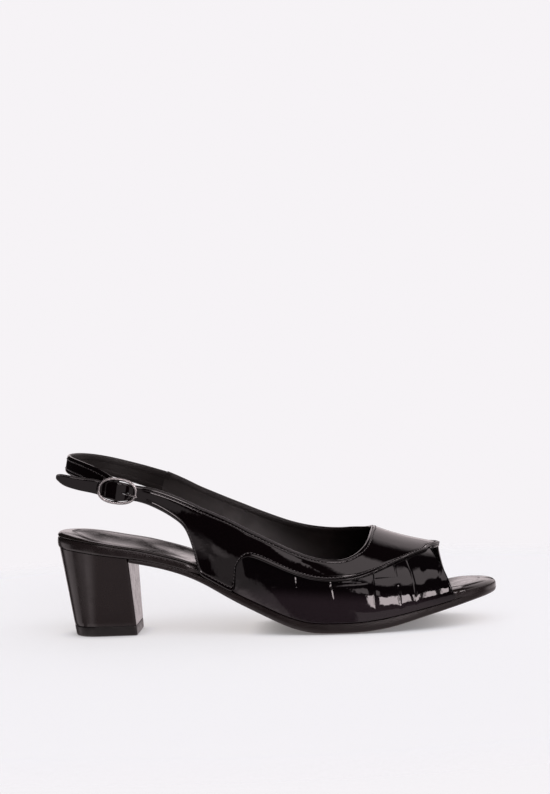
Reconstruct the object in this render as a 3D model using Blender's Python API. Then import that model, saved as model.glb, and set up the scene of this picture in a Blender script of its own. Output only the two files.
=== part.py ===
"""Right slingback sandal with a peep toe and a block heel, modelled on its last.

+X runs from the heel to the toe, +Y to the inner side of the foot, +Z up from the floor.
Sizes are in millimetres in the shoe's own frame: x from the back of the heel seat, y from
the middle of the seat, z from the floor. The finished shoe is centred over the origin.
"""
import math
from collections import namedtuple

import bmesh
import bpy
import numpy as np
from mathutils import Vector

MM = 0.001

# Driving dimensions of the last and the sole
LENGTH = 243.0          # back of the heel seat to the tip of the toe
BALL_WIDTH = 78.4       # sole across the ball
SEAT_HEIGHT = 49.6      # floor to the seam over the heel block at the back
BALL_HEIGHT = 5.65      # floor to the seam over the outsole at the ball
TOE_SPRING = 12.75      # rise of that seam from the ball to the tip
INSTEP = 107.0          # floor to the ridge of the last over the waist
HEEL_ROUND = 27.0       # length of the round back of the seat
TOE_ROUND = 75.0        # length over which the toe rounds off
TOE_POWER = 2.2         # fullness of the toe, 2 being an ellipse

# Leather
GAP = 0.3               # glue line between pieces
WALL = 1.4              # upper with its lining
OVERLAY = 0.8           # smooth collar over the upper
LAST_INSET = 1.6        # outline of the last inside that of the sole
BOARD_TUCK = 2.4        # insole board drawn in where the upper wraps it
SOCK_MARGIN = 0.2       # padded sock inside the rim of the insole board
UPPER_BACK = (75.0, 79.5)     # where the upper starts to wrap the board
UPPER_FRONT = (219.3, 225.3)  # where the peep toe lays the board bare again

# Heel block, from its top to the floor
HEEL_BACK = (0.9, 8.4)        # x of the back
HEEL_BREAST = (41.2, 44.2)    # x of the flat front
HEEL_HALF = (25.8, 16.2)      # half width
HEEL_BEND = (25.0, 14.0)      # length of the rounded back
HEEL_WAIST = 1.15             # over 1 draws the sides in below the seat
BREAST_EDGE = 0.8             # bevel of the front corners
TOP_PIECE = 5.2               # wearing piece under the heel
TOP_PIECE_EDGE = 0.5          # bevel round the bottom of the wearing piece

# Buckle: its place, and its sizes along and across the strap
BUCKLE_CENTRE = (39.0, -36.6, 81.6)
BUCKLE_PITCH = math.radians(10.0)   # the strap climbs to the back
BUCKLE_SPLAY = math.radians(8.0)    # the strap end stands off to the back
RING_HALF = (10.0, 6.4)
RING_POWER = 2.4              # fullness of the oval, 2 being an ellipse
RING_WIRE = 0.8
BAR_WIRE = 0.65
BAR_DROP = 1.5                # centre bar below the plane of the ring
BAR_KNEE = 1.3                # length of the bar's bent ends
PRONG_WIRE = 0.5
PRONG_TIP = 11.2              # reach of the prong in front of the bar
LOOP_LEATHER = 0.7            # end of the slingback folded round the bar
LOOP_WIDTH = 9.8
SLING_THICKNESS = 2.0
PRONG_SLANT = 1.9             # how far the prong's tip lies under the middle of the strap
SLOT_ALONG = -5.0             # middle of the prong's slot in the strap
SLOT_ACROSS = -0.85
SLOT_HALF = (2.7, 1.0)
SLOT_DEPTH = 6.0              # reach of the slot's cutter to either side
PRONG_HOOK = (math.radians(110.0), math.radians(-117.0))   # the prong's turn round the bar
ANKLE = (40.0, 0.0)           # plan point that the slingback leans in to

# Fineness
STATIONS = 48
SHORTEST_STEP = 1.0     # of the outsole's first station
HEEL_STATIONS = 14
HEEL_LEVELS = 5
RIB_STEPS = 2
OVERLAY_ROWS = 4
PANEL_ROWS = 4
WIRE_SIDES = 8
RING_STEPS = 36
SLING_STEPS = 4
HOOK_STEPS = 12
SHAFT_STEPS = 5
BORE_SIDES = 16
PROBE = 0.2             # step along x for slopes
PROBE_TURN = 0.004      # step round the last for its normals
WELD = 1e-6
SHARP = math.radians(35.0)

# Sole: at in percent of the length, drop in percent from the ball up to the seat, rise in
# percent of the toe spring, thicknesses in mm, half in percent of the ball width, axis in mm
# to the inner side
Sole = namedtuple("Sole", "at drop rise outsole board sock half axis")
SOLE = [
    Sole(0.0, 100.0, 0.0, 2.0, 5.6, 3.2, 33.9, 0.0),
    Sole(5.0, 97.0, 0.0, 2.0, 5.5, 3.2, 33.9, 0.0),
    Sole(10.0, 92.3, 0.0, 2.0, 5.4, 3.2, 33.9, 0.0),
    Sole(15.0, 87.9, 0.0, 2.0, 4.9, 3.2, 33.8, 0.0),
    Sole(20.0, 83.8, 0.0, 2.6, 4.5, 3.2, 33.2, -0.2),
    Sole(25.0, 77.5, 0.0, 2.8, 4.1, 3.2, 32.3, -0.8),
    Sole(30.0, 69.1, 0.0, 3.2, 4.1, 3.2, 31.6, -1.5),
    Sole(34.0, 60.0, 0.0, 3.8, 4.2, 3.1, 31.5, -2.1),
    Sole(38.0, 48.1, 0.0, 4.4, 4.1, 3.0, 32.7, -2.6),
    Sole(42.0, 36.5, 0.0, 4.8, 4.0, 3.0, 34.9, -3.0),
    Sole(46.0, 26.1, 0.0, 5.0, 4.0, 3.0, 37.4, -3.1),
    Sole(50.0, 15.8, 0.0, 5.3, 4.0, 3.0, 40.6, -2.9),
    Sole(54.0, 6.5, 0.0, 5.4, 4.0, 3.0, 43.5, -2.5),
    Sole(58.0, 1.2, 0.0, 5.5, 4.0, 3.0, 46.2, -1.9),
    Sole(60.0, 0.0, 0.0, 5.5, 4.0, 3.0, 47.3, -1.5),
    Sole(68.0, 0.0, 0.0, 5.5, 4.0, 2.8, 49.8, -0.3),
    Sole(71.0, 0.0, 4.7, 5.6, 4.0, 2.7, 50.0, 0.1),
    Sole(75.0, 0.0, 14.5, 5.6, 4.0, 2.6, 50.0, 0.6),
    Sole(79.0, 0.0, 28.6, 5.2, 3.9, 2.5, 49.6, 1.0),
    Sole(83.0, 0.0, 43.5, 4.5, 3.7, 2.4, 49.0, 1.4),
    Sole(87.0, 0.0, 58.4, 4.0, 3.6, 2.4, 48.8, 1.8),
    Sole(91.0, 0.0, 74.9, 3.8, 3.3, 2.4, 48.7, 2.2),
    Sole(95.0, 0.0, 89.5, 3.4, 2.7, 2.3, 48.7, 2.5),
    Sole(100.0, 0.0, 100.0, 2.5, 2.2, 2.2, 48.7, 3.0),
]

# Side of each plate, from its bottom up: inset in mm, level in percent of the thickness
Edge = namedtuple("Edge", "inset level")
OUTSOLE_EDGE = [Edge(3.5, 0.0), Edge(1.2, 7.0), Edge(0.3, 22.0), Edge(0.0, 55.0), Edge(0.2, 100.0)]
BOARD_EDGE = [Edge(0.5, 0.0), Edge(0.1, 20.0), Edge(0.0, 55.0), Edge(0.2, 85.0), Edge(0.6, 100.0)]
SOCK_EDGE = [Edge(0.5, 0.0), Edge(0.0, 28.0), Edge(0.5, 62.0), Edge(1.6, 88.0), Edge(3.2, 100.0)]

# Last above the sole: ridge in percent of the instep, ridge_y in mm, how far the sides swell out
# over the sole, in mm on the outer and the inner side, and how far the outer side is drawn in
# again at the topline
Last = namedtuple("Last", "at ridge ridge_y swell_out swell_in tuck")
LAST = [
    Last(20.6, 104.7, 0.0, 14.0, 15.0, 0.0),
    Last(31.7, 100.0, 2.0, 13.0, 15.0, 2.2),
    Last(43.2, 88.8, 4.0, 9.0, 11.0, 2.4),
    Last(51.9, 75.7, 5.0, 3.5, 6.5, 0.8),
    Last(58.4, 65.3, 6.0, 1.0, 3.5, 0.0),
    Last(65.8, 55.2, 6.0, 0.6, 1.8, 0.0),
    Last(72.0, 48.2, 6.0, 0.8, 1.2, 0.0),
    Last(78.2, 43.0, 5.5, 1.0, 1.0, 0.0),
    Last(84.4, 39.6, 5.0, 1.0, 1.0, 0.0),
    Last(91.4, 36.3, 4.0, 1.0, 1.0, 0.0),
]
TUCK_TURN = (math.radians(14.0), math.radians(32.0))   # from where to where the side is drawn in

# Ribs of the upper, from the strap forward to the middle of the vamp. Each runs from the
# topline over the lower edge of the collar (seam) to the edge of the wall, with places (top,
# seam, edge) in percent of the length and angles (_up) in degrees up from the sole, 90 being
# the ridge. The _out and _in columns are for the outer and the inner side of the foot.
Rib = namedtuple("Rib", "top top_up_out top_up_in seam seam_up edge_out edge_up_out edge_in edge_up_in")
RIBS = [
    Rib(24.5, 36.4, 41.5, 22.7, 27.5, 22.7, 27.5, 22.7, 28.6),
    Rib(27.2, 35.0, 39.9, 26.7, 24.6, 26.7, 24.6, 26.7, 25.4),
    Rib(29.6, 33.8, 38.5, 29.6, 21.9, 29.6, 21.9, 29.6, 22.7),
    Rib(32.5, 32.6, 37.0, 31.3, 16.5, 31.3, 16.5, 31.3, 16.7),
    Rib(35.4, 31.9, 36.7, 32.5, 7.7, 32.5, 7.7, 32.5, 7.7),
    Rib(37.9, 31.9, 36.8, 33.4, 0.0, 33.4, 0.0, 33.4, 0.0),
    Rib(40.3, 32.0, 37.1, 37.4, 0.0, 37.4, 0.0, 37.4, 0.0),
    Rib(42.4, 31.8, 37.5, 41.0, 0.0, 41.0, 0.0, 41.0, 0.0),
    Rib(43.6, 31.7, 37.7, 41.3, 9.6, 42.8, 0.0, 42.8, 0.0),
    Rib(45.3, 31.6, 38.1, 42.7, 15.6, 44.8, 0.0, 44.8, 0.0),
    Rib(47.3, 31.8, 38.8, 45.3, 19.9, 47.0, 0.0, 47.0, 0.0),
    Rib(51.9, 32.3, 40.9, 51.9, 20.6, 52.3, 0.0, 52.3, 0.0),
    Rib(58.4, 33.2, 46.0, 59.7, 21.1, 59.7, 0.0, 59.7, 0.0),
    Rib(64.2, 36.0, 53.4, 67.1, 25.1, 67.9, 0.0, 67.9, 0.0),
    Rib(67.7, 42.4, 62.0, 72.8, 33.2, 74.9, 0.0, 74.9, 0.0),
    Rib(70.1, 52.8, 69.0, 78.2, 45.8, 81.9, 0.0, 81.9, 0.0),
    Rib(71.0, 62.0, 74.5, 81.1, 53.6, 87.2, 0.0, 87.2, 0.0),
    Rib(71.4, 70.0, 79.0, 83.0, 59.3, 90.3, 0.0, 90.3, 0.0),
    Rib(71.6, 77.0, 83.0, 84.3, 64.4, 88.2, 35.5, 88.6, 20.0),
    Rib(71.8, 82.0, 86.0, 84.9, 72.0, 84.9, 72.0, 87.5, 55.0),
    Rib(71.83, 86.5, 88.2, 86.4, 79.0, 86.4, 79.0, 87.4, 75.0),
    Rib(71.85, 90.0, 90.0, 87.4, 90.0, 87.4, 90.0, 87.4, 90.0),
]

# Strap end on the outer side, in the buckle's own directions: along to the back, rise and
# lift (inner face) off the ring's middle, and the strap's edges over and under its axis
StrapEnd = namedtuple("StrapEnd", "along rise lift over under")
STRAP_END = [
    StrapEnd(-14.0, -0.5, -3.5, 4.7, 4.3),
    StrapEnd(-9.5, -0.1, -3.8, 4.3, 4.1),
    StrapEnd(-7.0, 0.0, -3.6, 4.1, 4.1),
    StrapEnd(-5.0, 0.0, -2.1, 4.4, 4.4),
    StrapEnd(-2.5, 0.0, 0.0, 5.05, 5.05),
    StrapEnd(0.0, 0.0, 0.8, 5.4, 5.4),
    StrapEnd(2.5, 0.0, 0.0, 5.05, 5.05),
    StrapEnd(5.0, 0.1, -2.1, 4.3, 4.4),
    StrapEnd(7.0, 0.2, -3.6, 3.9, 4.2),
    StrapEnd(9.5, 0.6, -3.8, 3.9, 4.2),
    StrapEnd(13.0, 1.1, -3.3, 3.7, 4.1),
    StrapEnd(21.0, 1.6, -2.0, 3.4, 3.8),
    StrapEnd(27.5, 2.3, -0.9, 3.1, 3.3),
    StrapEnd(31.0, 2.8, -0.4, 2.8, 2.3),
    StrapEnd(33.4, 3.3, -0.1, 1.9, 1.0),
]

# Slingback from the seam on the inner side, round the back: its middle line, its width and
# how far its upper edge leans in over the foot, in degrees
Sling = namedtuple("Sling", "x y z width lean")
SLING = [
    Sling(56.9, 33.2, 81.0, 12.6, 6.0),
    Sling(46.0, 34.0, 84.8, 12.0, 6.0),
    Sling(33.0, 32.6, 89.2, 11.2, 7.0),
    Sling(20.0, 26.0, 93.0, 11.0, 9.0),
    Sling(10.9, 13.5, 95.3, 10.4, 11.0),
    Sling(7.4, 0.0, 95.9, 9.8, 12.0),
    Sling(10.4, -13.0, 95.0, 9.8, 11.0),
    Sling(18.6, -23.6, 92.4, 10.0, 9.0),
    Sling(27.0, -29.6, 89.0, 10.2, 6.0),
]
# Last stretch to the buckle, in the buckle's own directions
SlingEnd = namedtuple("SlingEnd", "along rise lift width")
SLING_END = [
    SlingEnd(6.0, 2.5, -4.6, 10.8),
    SlingEnd(2.6, 0.6, -3.1, 10.4),
    SlingEnd(0.6, 0.0, -2.4, 9.8),
]

Finish = namedtuple("Finish", "colour roughness metallic")
FINISHES = {
    "outsole": Finish((0.035, 0.028, 0.027), 0.55, 0.0),
    "insole_board": Finish((0.030, 0.025, 0.026), 0.45, 0.0),
    "sock_lining": Finish((0.040, 0.034, 0.035), 0.50, 0.0),
    "heel_block": Finish((0.025, 0.020, 0.020), 0.35, 0.0),
    "heel_top_piece": Finish((0.015, 0.014, 0.014), 0.60, 0.0),
    "upper": Finish((0.008, 0.008, 0.010), 0.15, 0.0),
    "vamp_overlay": Finish((0.010, 0.010, 0.012), 0.10, 0.0),
    "slingback_strap": Finish((0.010, 0.010, 0.012), 0.12, 0.0),
    "buckle_frame": Finish((0.80, 0.80, 0.82), 0.18, 1.0),
    "buckle_prong": Finish((0.80, 0.80, 0.82), 0.18, 1.0),
}


def curve(knots, values):
    """Smooth curve through the knots that never overshoots a value (monotone cubic)."""
    knots = np.asarray(knots, float)
    values = np.asarray(values, float)
    step = np.diff(knots)
    rise = np.diff(values) / step
    slope = np.concatenate(([rise[0]], np.zeros(len(rise) - 1), [rise[-1]]))
    for i in range(1, len(rise)):
        if rise[i - 1] * rise[i] > 0:
            before = 2 * step[i] + step[i - 1]
            after = step[i] + 2 * step[i - 1]
            slope[i] = (before + after) / (before / rise[i - 1] + after / rise[i])

    def at(x):
        x = np.asarray(x, float)
        i = np.clip(np.searchsorted(knots, x) - 1, 0, len(step) - 1)
        t = (x - knots[i]) / step[i]
        ends = values[i] + (values[i + 1] - values[i]) * t * t * (3 - 2 * t)
        leave = slope[i] * t * (1 - t) ** 2
        arrive = slope[i + 1] * t * t * (t - 1)
        return ends + step[i] * (leave + arrive)

    return at


def columns(table, knots):
    """A curve for each column of a table, under the column's name."""
    return type(table[0])(*(curve(knots, column) for column in zip(*table)))


def smooth_step(x, start, end):
    t = np.clip((np.asarray(x, float) - start) / (end - start), 0, 1)
    return t * t * (3 - 2 * t)


sole = columns(SOLE, [LENGTH * row.at / 100 for row in SOLE])
last = columns(LAST, [LENGTH * row.at / 100 for row in LAST])


# The sole's outline and levels

def rounding(x):
    """Share of the full half width left where the seat and the toe round off."""
    heel = np.clip(1 - x / HEEL_ROUND, 0, 1)
    toe = np.clip((x - LENGTH + TOE_ROUND) / TOE_ROUND, 0, 1)
    return np.sqrt(1 - heel ** 2) * np.sqrt(1 - toe ** TOE_POWER)


def outline(x, side):
    """y of the sole's edge, on the outer (side -1) or the inner side (side 1)."""
    return sole.axis(x) + side * BALL_WIDTH * sole.half(x) / 100 * rounding(x)


def joint(x):
    """Height of the glue line between the outsole or heel and what lies on it."""
    climb = (SEAT_HEIGHT - BALL_HEIGHT) * sole.drop(x) / 100
    return BALL_HEIGHT + climb + TOE_SPRING * sole.rise(x) / 100


def under_joint(x):
    return joint(x) - GAP / 2


def over_joint(x):
    return joint(x) + GAP / 2


def tread(x):
    return np.maximum(under_joint(x) - sole.outsole(x), 0.0)


def board_top(x):
    return over_joint(x) + sole.board(x)


def sock_bottom(x):
    return board_top(x) + GAP


def sock_top(x):
    return sock_bottom(x) + sole.sock(x)


def board_inset(x):
    """How far the insole board is drawn in where the upper wraps it."""
    start = smooth_step(x, *UPPER_BACK)
    end = smooth_step(x, *UPPER_FRONT)
    return BOARD_TUCK * start * (1 - end)


def side_normals(points, side):
    """Outward plan normals along one side of an outline, straight out at its two tips."""
    tangent = np.gradient(points, axis=0)
    normal = np.stack((-tangent[:, 1], tangent[:, 0]), axis=1) * side
    normal[points[:, 0] <= 0] = (-1, 0)
    normal[points[:, 0] >= LENGTH] = (1, 0)
    return normal / np.linalg.norm(normal, axis=1, keepdims=True)


def plan_loop(x, inset):
    """Closed plan outline, up the outer side and back down the inner side, drawn in by inset."""
    sides = []
    for side in (-1, 1):
        points = np.stack((x, outline(x, side)), axis=1)
        points = points - side_normals(points, side) * np.broadcast_to(inset, x.shape)[:, None]
        sides.append(points)
    return np.concatenate((sides[0], sides[1][::-1]))


# Solids from points

def solid(name, points, faces):
    """Closed mesh object from points in mm, with its finish."""
    build = bmesh.new()
    verts = [build.verts.new(Vector(point) * MM) for point in points]
    for face in faces:
        build.faces.new([verts[i] for i in face])
    bmesh.ops.remove_doubles(build, verts=build.verts, dist=WELD)
    bmesh.ops.recalc_face_normals(build, faces=build.faces)
    mesh = bpy.data.meshes.new(name)
    build.to_mesh(mesh)
    build.free()
    mesh.shade_smooth()
    mesh.set_sharp_from_angle(angle=SHARP)
    piece = bpy.data.objects.new(name, mesh)
    bpy.context.scene.collection.objects.link(piece)
    if name in FINISHES:
        mesh.materials.append(finish(name))
    return piece


def finish(name):
    material = bpy.data.materials.new(name)
    material.use_nodes = True
    shader = material.node_tree.nodes["Principled BSDF"]
    shader.inputs["Base Color"].default_value = (*FINISHES[name].colour, 1.0)
    shader.inputs["Roughness"].default_value = FINISHES[name].roughness
    shader.inputs["Metallic"].default_value = FINISHES[name].metallic
    return material


def stack(name, rings):
    """Solid through closed rings from the bottom up, its ends closed by rungs between the sides."""
    count = len(rings[0])
    points = np.concatenate(rings)
    faces = []
    for level in range(len(rings) - 1):
        for i in range(count):
            near, far = level * count + i, level * count + (i + 1) % count
            faces.append((near, far, far + count, near + count))
    for start in (0, (len(rings) - 1) * count):
        for i in range(count // 2 - 1):
            faces.append((start + i, start + i + 1, start + count - 2 - i, start + count - 1 - i))
    return solid(name, points, faces)


def shell(name, points, normals, inner, outer):
    """Wall over a grid of points, between two offsets along their normals."""
    ribs, rows = points.shape[:2]
    faces = []

    def index(layer, rib, row):
        return (layer * ribs + rib) * rows + row

    def quads(layer):
        for rib in range(ribs - 1):
            for row in range(rows - 1):
                yield (index(layer, rib, row), index(layer, rib + 1, row),
                       index(layer, rib + 1, row + 1), index(layer, rib, row + 1))

    faces.extend(quads(0))
    faces.extend(quads(1))
    for row in (0, rows - 1):
        for rib in range(ribs - 1):
            faces.append((index(0, rib, row), index(0, rib + 1, row),
                          index(1, rib + 1, row), index(1, rib, row)))
    for rib in (0, ribs - 1):
        for row in range(rows - 1):
            faces.append((index(0, rib, row), index(0, rib, row + 1),
                          index(1, rib, row + 1), index(1, rib, row)))
    layers = np.stack((points + normals * inner, points + normals * outer))
    return solid(name, layers.reshape(-1, 3), faces)


def wire(name, path, radius, plane, closed=False, sides=WIRE_SIDES):
    """Round wire along a flat path, whose plane has the given normal."""
    path = np.asarray(path, float)
    if closed:
        tangent = np.roll(path, -1, axis=0) - np.roll(path, 1, axis=0)
    else:
        tangent = np.gradient(path, axis=0)
    tangent /= np.linalg.norm(tangent, axis=1, keepdims=True)
    across = np.cross(tangent, plane)
    turn = 2 * math.pi * np.arange(sides) / sides
    rings = (path[:, None] + radius * np.cos(turn)[None, :, None] * across[:, None]
             + radius * np.sin(turn)[None, :, None] * np.asarray(plane))
    count = len(path)
    faces = []
    for i in range(count if closed else count - 1):
        for j in range(sides):
            k = (j + 1) % sides
            next_ring = (i + 1) % count * sides
            faces.append((i * sides + j, i * sides + k, next_ring + k, next_ring + j))
    if not closed:
        faces.append(tuple(range(sides)))
        faces.append(tuple(range((count - 1) * sides, count * sides)))
    return solid(name, rings.reshape(-1, 3), faces)


def boolean(piece, tool, operation):
    """Cut a piece with a tool, or join the tool to it, and keep the tool as a hidden guide."""
    modifier = piece.modifiers.new(tool.name, "BOOLEAN")
    modifier.operation = operation
    modifier.object = tool
    tool.hide_render = True
    tool.display_type = "WIRE"


# Sole

def heel_front(z):
    """x of the heel's flat front at a height."""
    return HEEL_BREAST[1] + (HEEL_BREAST[0] - HEEL_BREAST[1]) * z / SEAT_HEIGHT


def plate(name, x, inset, bottom, top, edge):
    """Plate of the sole's outline with a shaped edge, between two levels that change along x."""
    rings = []
    for row in edge:
        loop = plan_loop(x, inset + row.inset)
        low, high = bottom(loop[:, 0]), top(loop[:, 0])
        rings.append(np.column_stack((loop, low + (high - low) * row.level / 100)))
    return stack(name, rings)


def make_sole():
    along = (1 - np.cos(np.pi * np.arange(STATIONS + 1) / STATIONS)) / 2
    x = LENGTH * along
    start = heel_front(tread(HEEL_BREAST[0])) + 2 * GAP
    x_tread = np.concatenate(([start], x[x > start + SHORTEST_STEP]))
    plate("outsole", x_tread, 0.0, tread, under_joint, OUTSOLE_EDGE)
    plate("insole_board", x, board_inset(x), over_joint, board_top, BOARD_EDGE)
    plate("sock_lining", x, board_inset(x) + SOCK_MARGIN, sock_bottom, sock_top, SOCK_EDGE)


# Heel

def heel_ring(level, inset=0.0):
    """Ring round the heel at a height, or at heights that follow the seat."""
    share = np.linspace(0, 1, HEEL_STATIONS + 1)
    along = 1 - np.cos(np.pi / 2 * share)
    x_seat = HEEL_BACK[0] + (HEEL_BREAST[0] - HEEL_BACK[0]) * along
    z = level(x_seat)
    down = 1 - z / SEAT_HEIGHT
    back = HEEL_BACK[0] + (HEEL_BACK[1] - HEEL_BACK[0]) * down + inset
    breast = heel_front(z) - inset
    half = HEEL_HALF[1] + (HEEL_HALF[0] - HEEL_HALF[1]) * (1 - down) ** HEEL_WAIST - inset
    bend = HEEL_BEND[0] + (HEEL_BEND[1] - HEEL_BEND[0]) * down
    x = back + (breast - back) * along
    y = half * np.sqrt(1 - np.clip(1 - (x - back) / bend, 0, 1) ** 2)
    x[-2] = x[-1] - BREAST_EDGE
    y[-1] = y[-2] - BREAST_EDGE
    outer = np.column_stack((x, -y, z))
    inner = np.column_stack((x, y, z))
    return np.concatenate((outer, inner[::-1]))


def make_heel():
    def between(share):
        def level(x):
            bottom = TOP_PIECE + GAP
            return bottom + (under_joint(x) - bottom) * share
        return level

    rings = [heel_ring(between(share)) for share in np.linspace(0, 1, HEEL_LEVELS)]
    rings[-1][:, 2] = under_joint(rings[-1][:, 0])
    stack("heel_block", rings)

    def flat(height):
        return lambda x: np.full(x.shape, height)

    stack("heel_top_piece", [heel_ring(flat(0.0), TOP_PIECE_EDGE), heel_ring(flat(TOP_PIECE_EDGE)),
                             heel_ring(flat(TOP_PIECE))])


# Upper

def last_point(x, turn):
    """Point on the last: turn runs from 0 at the outer edge of the sole over the ridge to pi."""
    outer = turn < math.pi / 2
    side = np.where(outer, -1, 1)
    slope = (outline(x + PROBE, side) - outline(x - PROBE, side)) / (2 * PROBE)
    foot_y = outline(x, side) - side * LAST_INSET * np.sqrt(1 + slope ** 2)
    foot_z = over_joint(x)
    ridge_y = last.ridge_y(x)
    swell = np.where(outer, last.swell_out(x), last.swell_in(x)) * np.sin(2 * turn) ** 2
    drawn = np.clip((turn - TUCK_TURN[0]) / (TUCK_TURN[1] - TUCK_TURN[0]), 0, None) ** 2
    tuck = np.where(outer, last.tuck(x), 0.0) * drawn
    y = ridge_y + (foot_y - ridge_y) * np.abs(np.cos(turn)) + side * (swell - tuck)
    z = foot_z + (INSTEP * last.ridge(x) / 100 - foot_z) * np.sin(turn)
    return np.stack(np.broadcast_arrays(x, y, z), axis=-1)


def last_normal(x, turn):
    along = last_point(x + PROBE, turn) - last_point(x - PROBE, turn)
    around = last_point(x, turn + PROBE_TURN) - last_point(x, turn - PROBE_TURN)
    normal = np.cross(along, around)
    return normal / np.linalg.norm(normal, axis=-1, keepdims=True)


def rib_grid():
    """Points of the last and their normals on the ribs, from the outer strap to the inner seam."""
    count = len(RIBS)
    there = np.linspace(0, count - 1, (count - 1) * RIB_STEPS + 1)
    back = there[-2::-1]
    rib = columns(RIBS, range(count))

    def line(out_at, out_up, in_at, in_up):
        """One line across all the ribs: its places in mm and its turns in radians."""
        place = np.concatenate((out_at(there), in_at(back)))
        turn = np.concatenate((out_up(there), 180 - in_up(back)))
        return np.stack((LENGTH * place / 100, np.radians(turn)))

    def inner_seam_up(step):
        return np.maximum(rib.seam_up(step), rib.edge_up_in(step))

    top = line(rib.top, rib.top_up_out, rib.top, rib.top_up_in)
    seam = line(rib.seam, rib.seam_up, rib.seam, inner_seam_up)
    edge = line(rib.edge_out, rib.edge_up_out, rib.edge_in, rib.edge_up_in)
    rows = [top + (seam - top) * share for share in np.linspace(0, 1, OVERLAY_ROWS + 1)]
    rows += [seam + (edge - seam) * share for share in np.linspace(0, 1, PANEL_ROWS + 1)[1:]]
    x, turn = np.stack(rows, axis=-1)
    return last_point(x, turn), last_normal(x, turn)


Axes = namedtuple("Axes", "along across out")


def buckle_axes():
    """Directions along the strap to the back, across it upwards, and out of the shoe."""
    pitch, splay = BUCKLE_PITCH, BUCKLE_SPLAY
    along = np.array((-math.cos(pitch) * math.cos(splay), -math.sin(splay),
                      math.sin(pitch) * math.cos(splay)))
    across = np.array((math.sin(pitch), 0.0, math.cos(pitch)))
    return Axes(along, across, np.cross(across, along))


def at_buckle(along, across, out):
    """Shoe coordinates of a place given in the buckle's own directions."""
    axes = buckle_axes()
    offsets = (np.asarray(offset, float)[..., None] for offset in (along, across, out))
    return np.array(BUCKLE_CENTRE) + sum(offset * axis for offset, axis in zip(offsets, axes))


def strap_end_grid():
    """Points and normals of the outer strap, from its tip through the buckle to the quarter."""
    table = STRAP_END[::-1]
    along = np.array([row.along for row in table])
    rise = np.array([row.rise for row in table])
    lift = np.array([row.lift for row in table])
    over = np.array([row.over for row in table])
    under = np.array([row.under for row in table])
    share = np.concatenate((np.linspace(0, 1, OVERLAY_ROWS + 1), np.ones(PANEL_ROWS)))
    rise_rows = rise[:, None] + over[:, None] - (over + under)[:, None] * share
    points = at_buckle(np.broadcast_to(along[:, None], rise_rows.shape), rise_rows,
                       np.broadcast_to(lift[:, None], rise_rows.shape))
    middle = at_buckle(along, rise, lift)
    forward = np.gradient(middle, axis=0)
    normal = np.cross(forward, buckle_axes().across)
    normal /= np.linalg.norm(normal, axis=1, keepdims=True)
    return points, np.broadcast_to(normal[:, None], points.shape)


def make_upper():
    strap_points, strap_normals = strap_end_grid()
    last_points, last_normals = rib_grid()
    points = np.concatenate((strap_points, last_points))
    normals = np.concatenate((strap_normals, last_normals))
    upper = shell("upper", points, normals, 0.0, WALL)
    rows = OVERLAY_ROWS + 1
    inner = WALL + GAP
    overlay = shell("vamp_overlay", points[:, :rows], normals[:, :rows], inner, inner + OVERLAY)
    turn = 2 * math.pi * np.arange(BORE_SIDES) / BORE_SIDES
    rings = []
    for lift in (-SLOT_DEPTH, SLOT_DEPTH):
        rings.append(at_buckle(SLOT_ALONG + SLOT_HALF[0] * np.cos(turn),
                               SLOT_ACROSS + SLOT_HALF[1] * np.sin(turn), np.full(BORE_SIDES, lift)))
    slot = stack("prong_slot", rings)
    boolean(upper, slot, "DIFFERENCE")
    boolean(overlay, slot, "DIFFERENCE")


# Slingback and buckle

def cylinder_at_bar(name, radius, length):
    """Cylinder round the buckle's centre bar."""
    ends = at_buckle(np.zeros(2), np.array((-length / 2, length / 2)), np.full(2, -BAR_DROP))
    return wire(name, ends, radius, buckle_axes().out, sides=BORE_SIDES)


def make_slingback():
    middle = [(row.x, row.y, row.z) for row in SLING]
    width = [row.width for row in SLING]
    up = []
    for row in SLING:
        inward = np.array((ANKLE[0] - row.x, ANKLE[1] - row.y, 0.0))
        inward /= np.linalg.norm(inward)
        lean = math.radians(row.lean)
        up.append(math.cos(lean) * np.array((0.0, 0.0, 1.0)) + math.sin(lean) * inward)
    for row in SLING_END:
        middle.append(at_buckle(row.along, row.rise, row.lift))
        width.append(row.width)
        up.append(buckle_axes().across)
    knots = np.arange(len(middle))
    steps = np.linspace(0, knots[-1], SLING_STEPS * knots[-1] + 1)
    path = np.stack([curve(knots, column)(steps) for column in zip(*middle)], axis=1)
    lean = np.stack([curve(knots, column)(steps) for column in zip(*up)], axis=1)
    half = curve(knots, width)(steps) / 2
    forward = np.gradient(path, axis=0)
    forward /= np.linalg.norm(forward, axis=1, keepdims=True)
    lean -= forward * np.sum(lean * forward, axis=1, keepdims=True)
    lean /= np.linalg.norm(lean, axis=1, keepdims=True)
    normal = np.cross(lean, forward)
    rows = np.array((1.0, 0.0, -1.0))
    points = path[:, None] + (half[:, None] * rows)[..., None] * lean[:, None]
    normals = np.broadcast_to(normal[:, None], points.shape)
    strap = shell("slingback_strap", points, normals, -SLING_THICKNESS / 2, SLING_THICKNESS / 2)
    bore = BAR_WIRE + GAP
    boolean(strap, cylinder_at_bar("bar_loop", bore + LOOP_LEATHER, LOOP_WIDTH), "UNION")
    boolean(strap, cylinder_at_bar("bar_bore", bore, 2 * LOOP_WIDTH), "DIFFERENCE")
    gap_half = PRONG_WIRE + 2 * GAP
    reach = bore + LOOP_LEATHER + 3 * PRONG_WIRE
    corners = ((-reach, -gap_half), (-reach, gap_half), (reach, gap_half), (reach, -gap_half))
    rings = []
    for lift in (-BAR_DROP - reach, -BAR_DROP + reach):
        rings.append(at_buckle(*np.array(corners).T, np.full(len(corners), lift)))
    boolean(strap, stack("prong_gap", rings), "DIFFERENCE")


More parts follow.
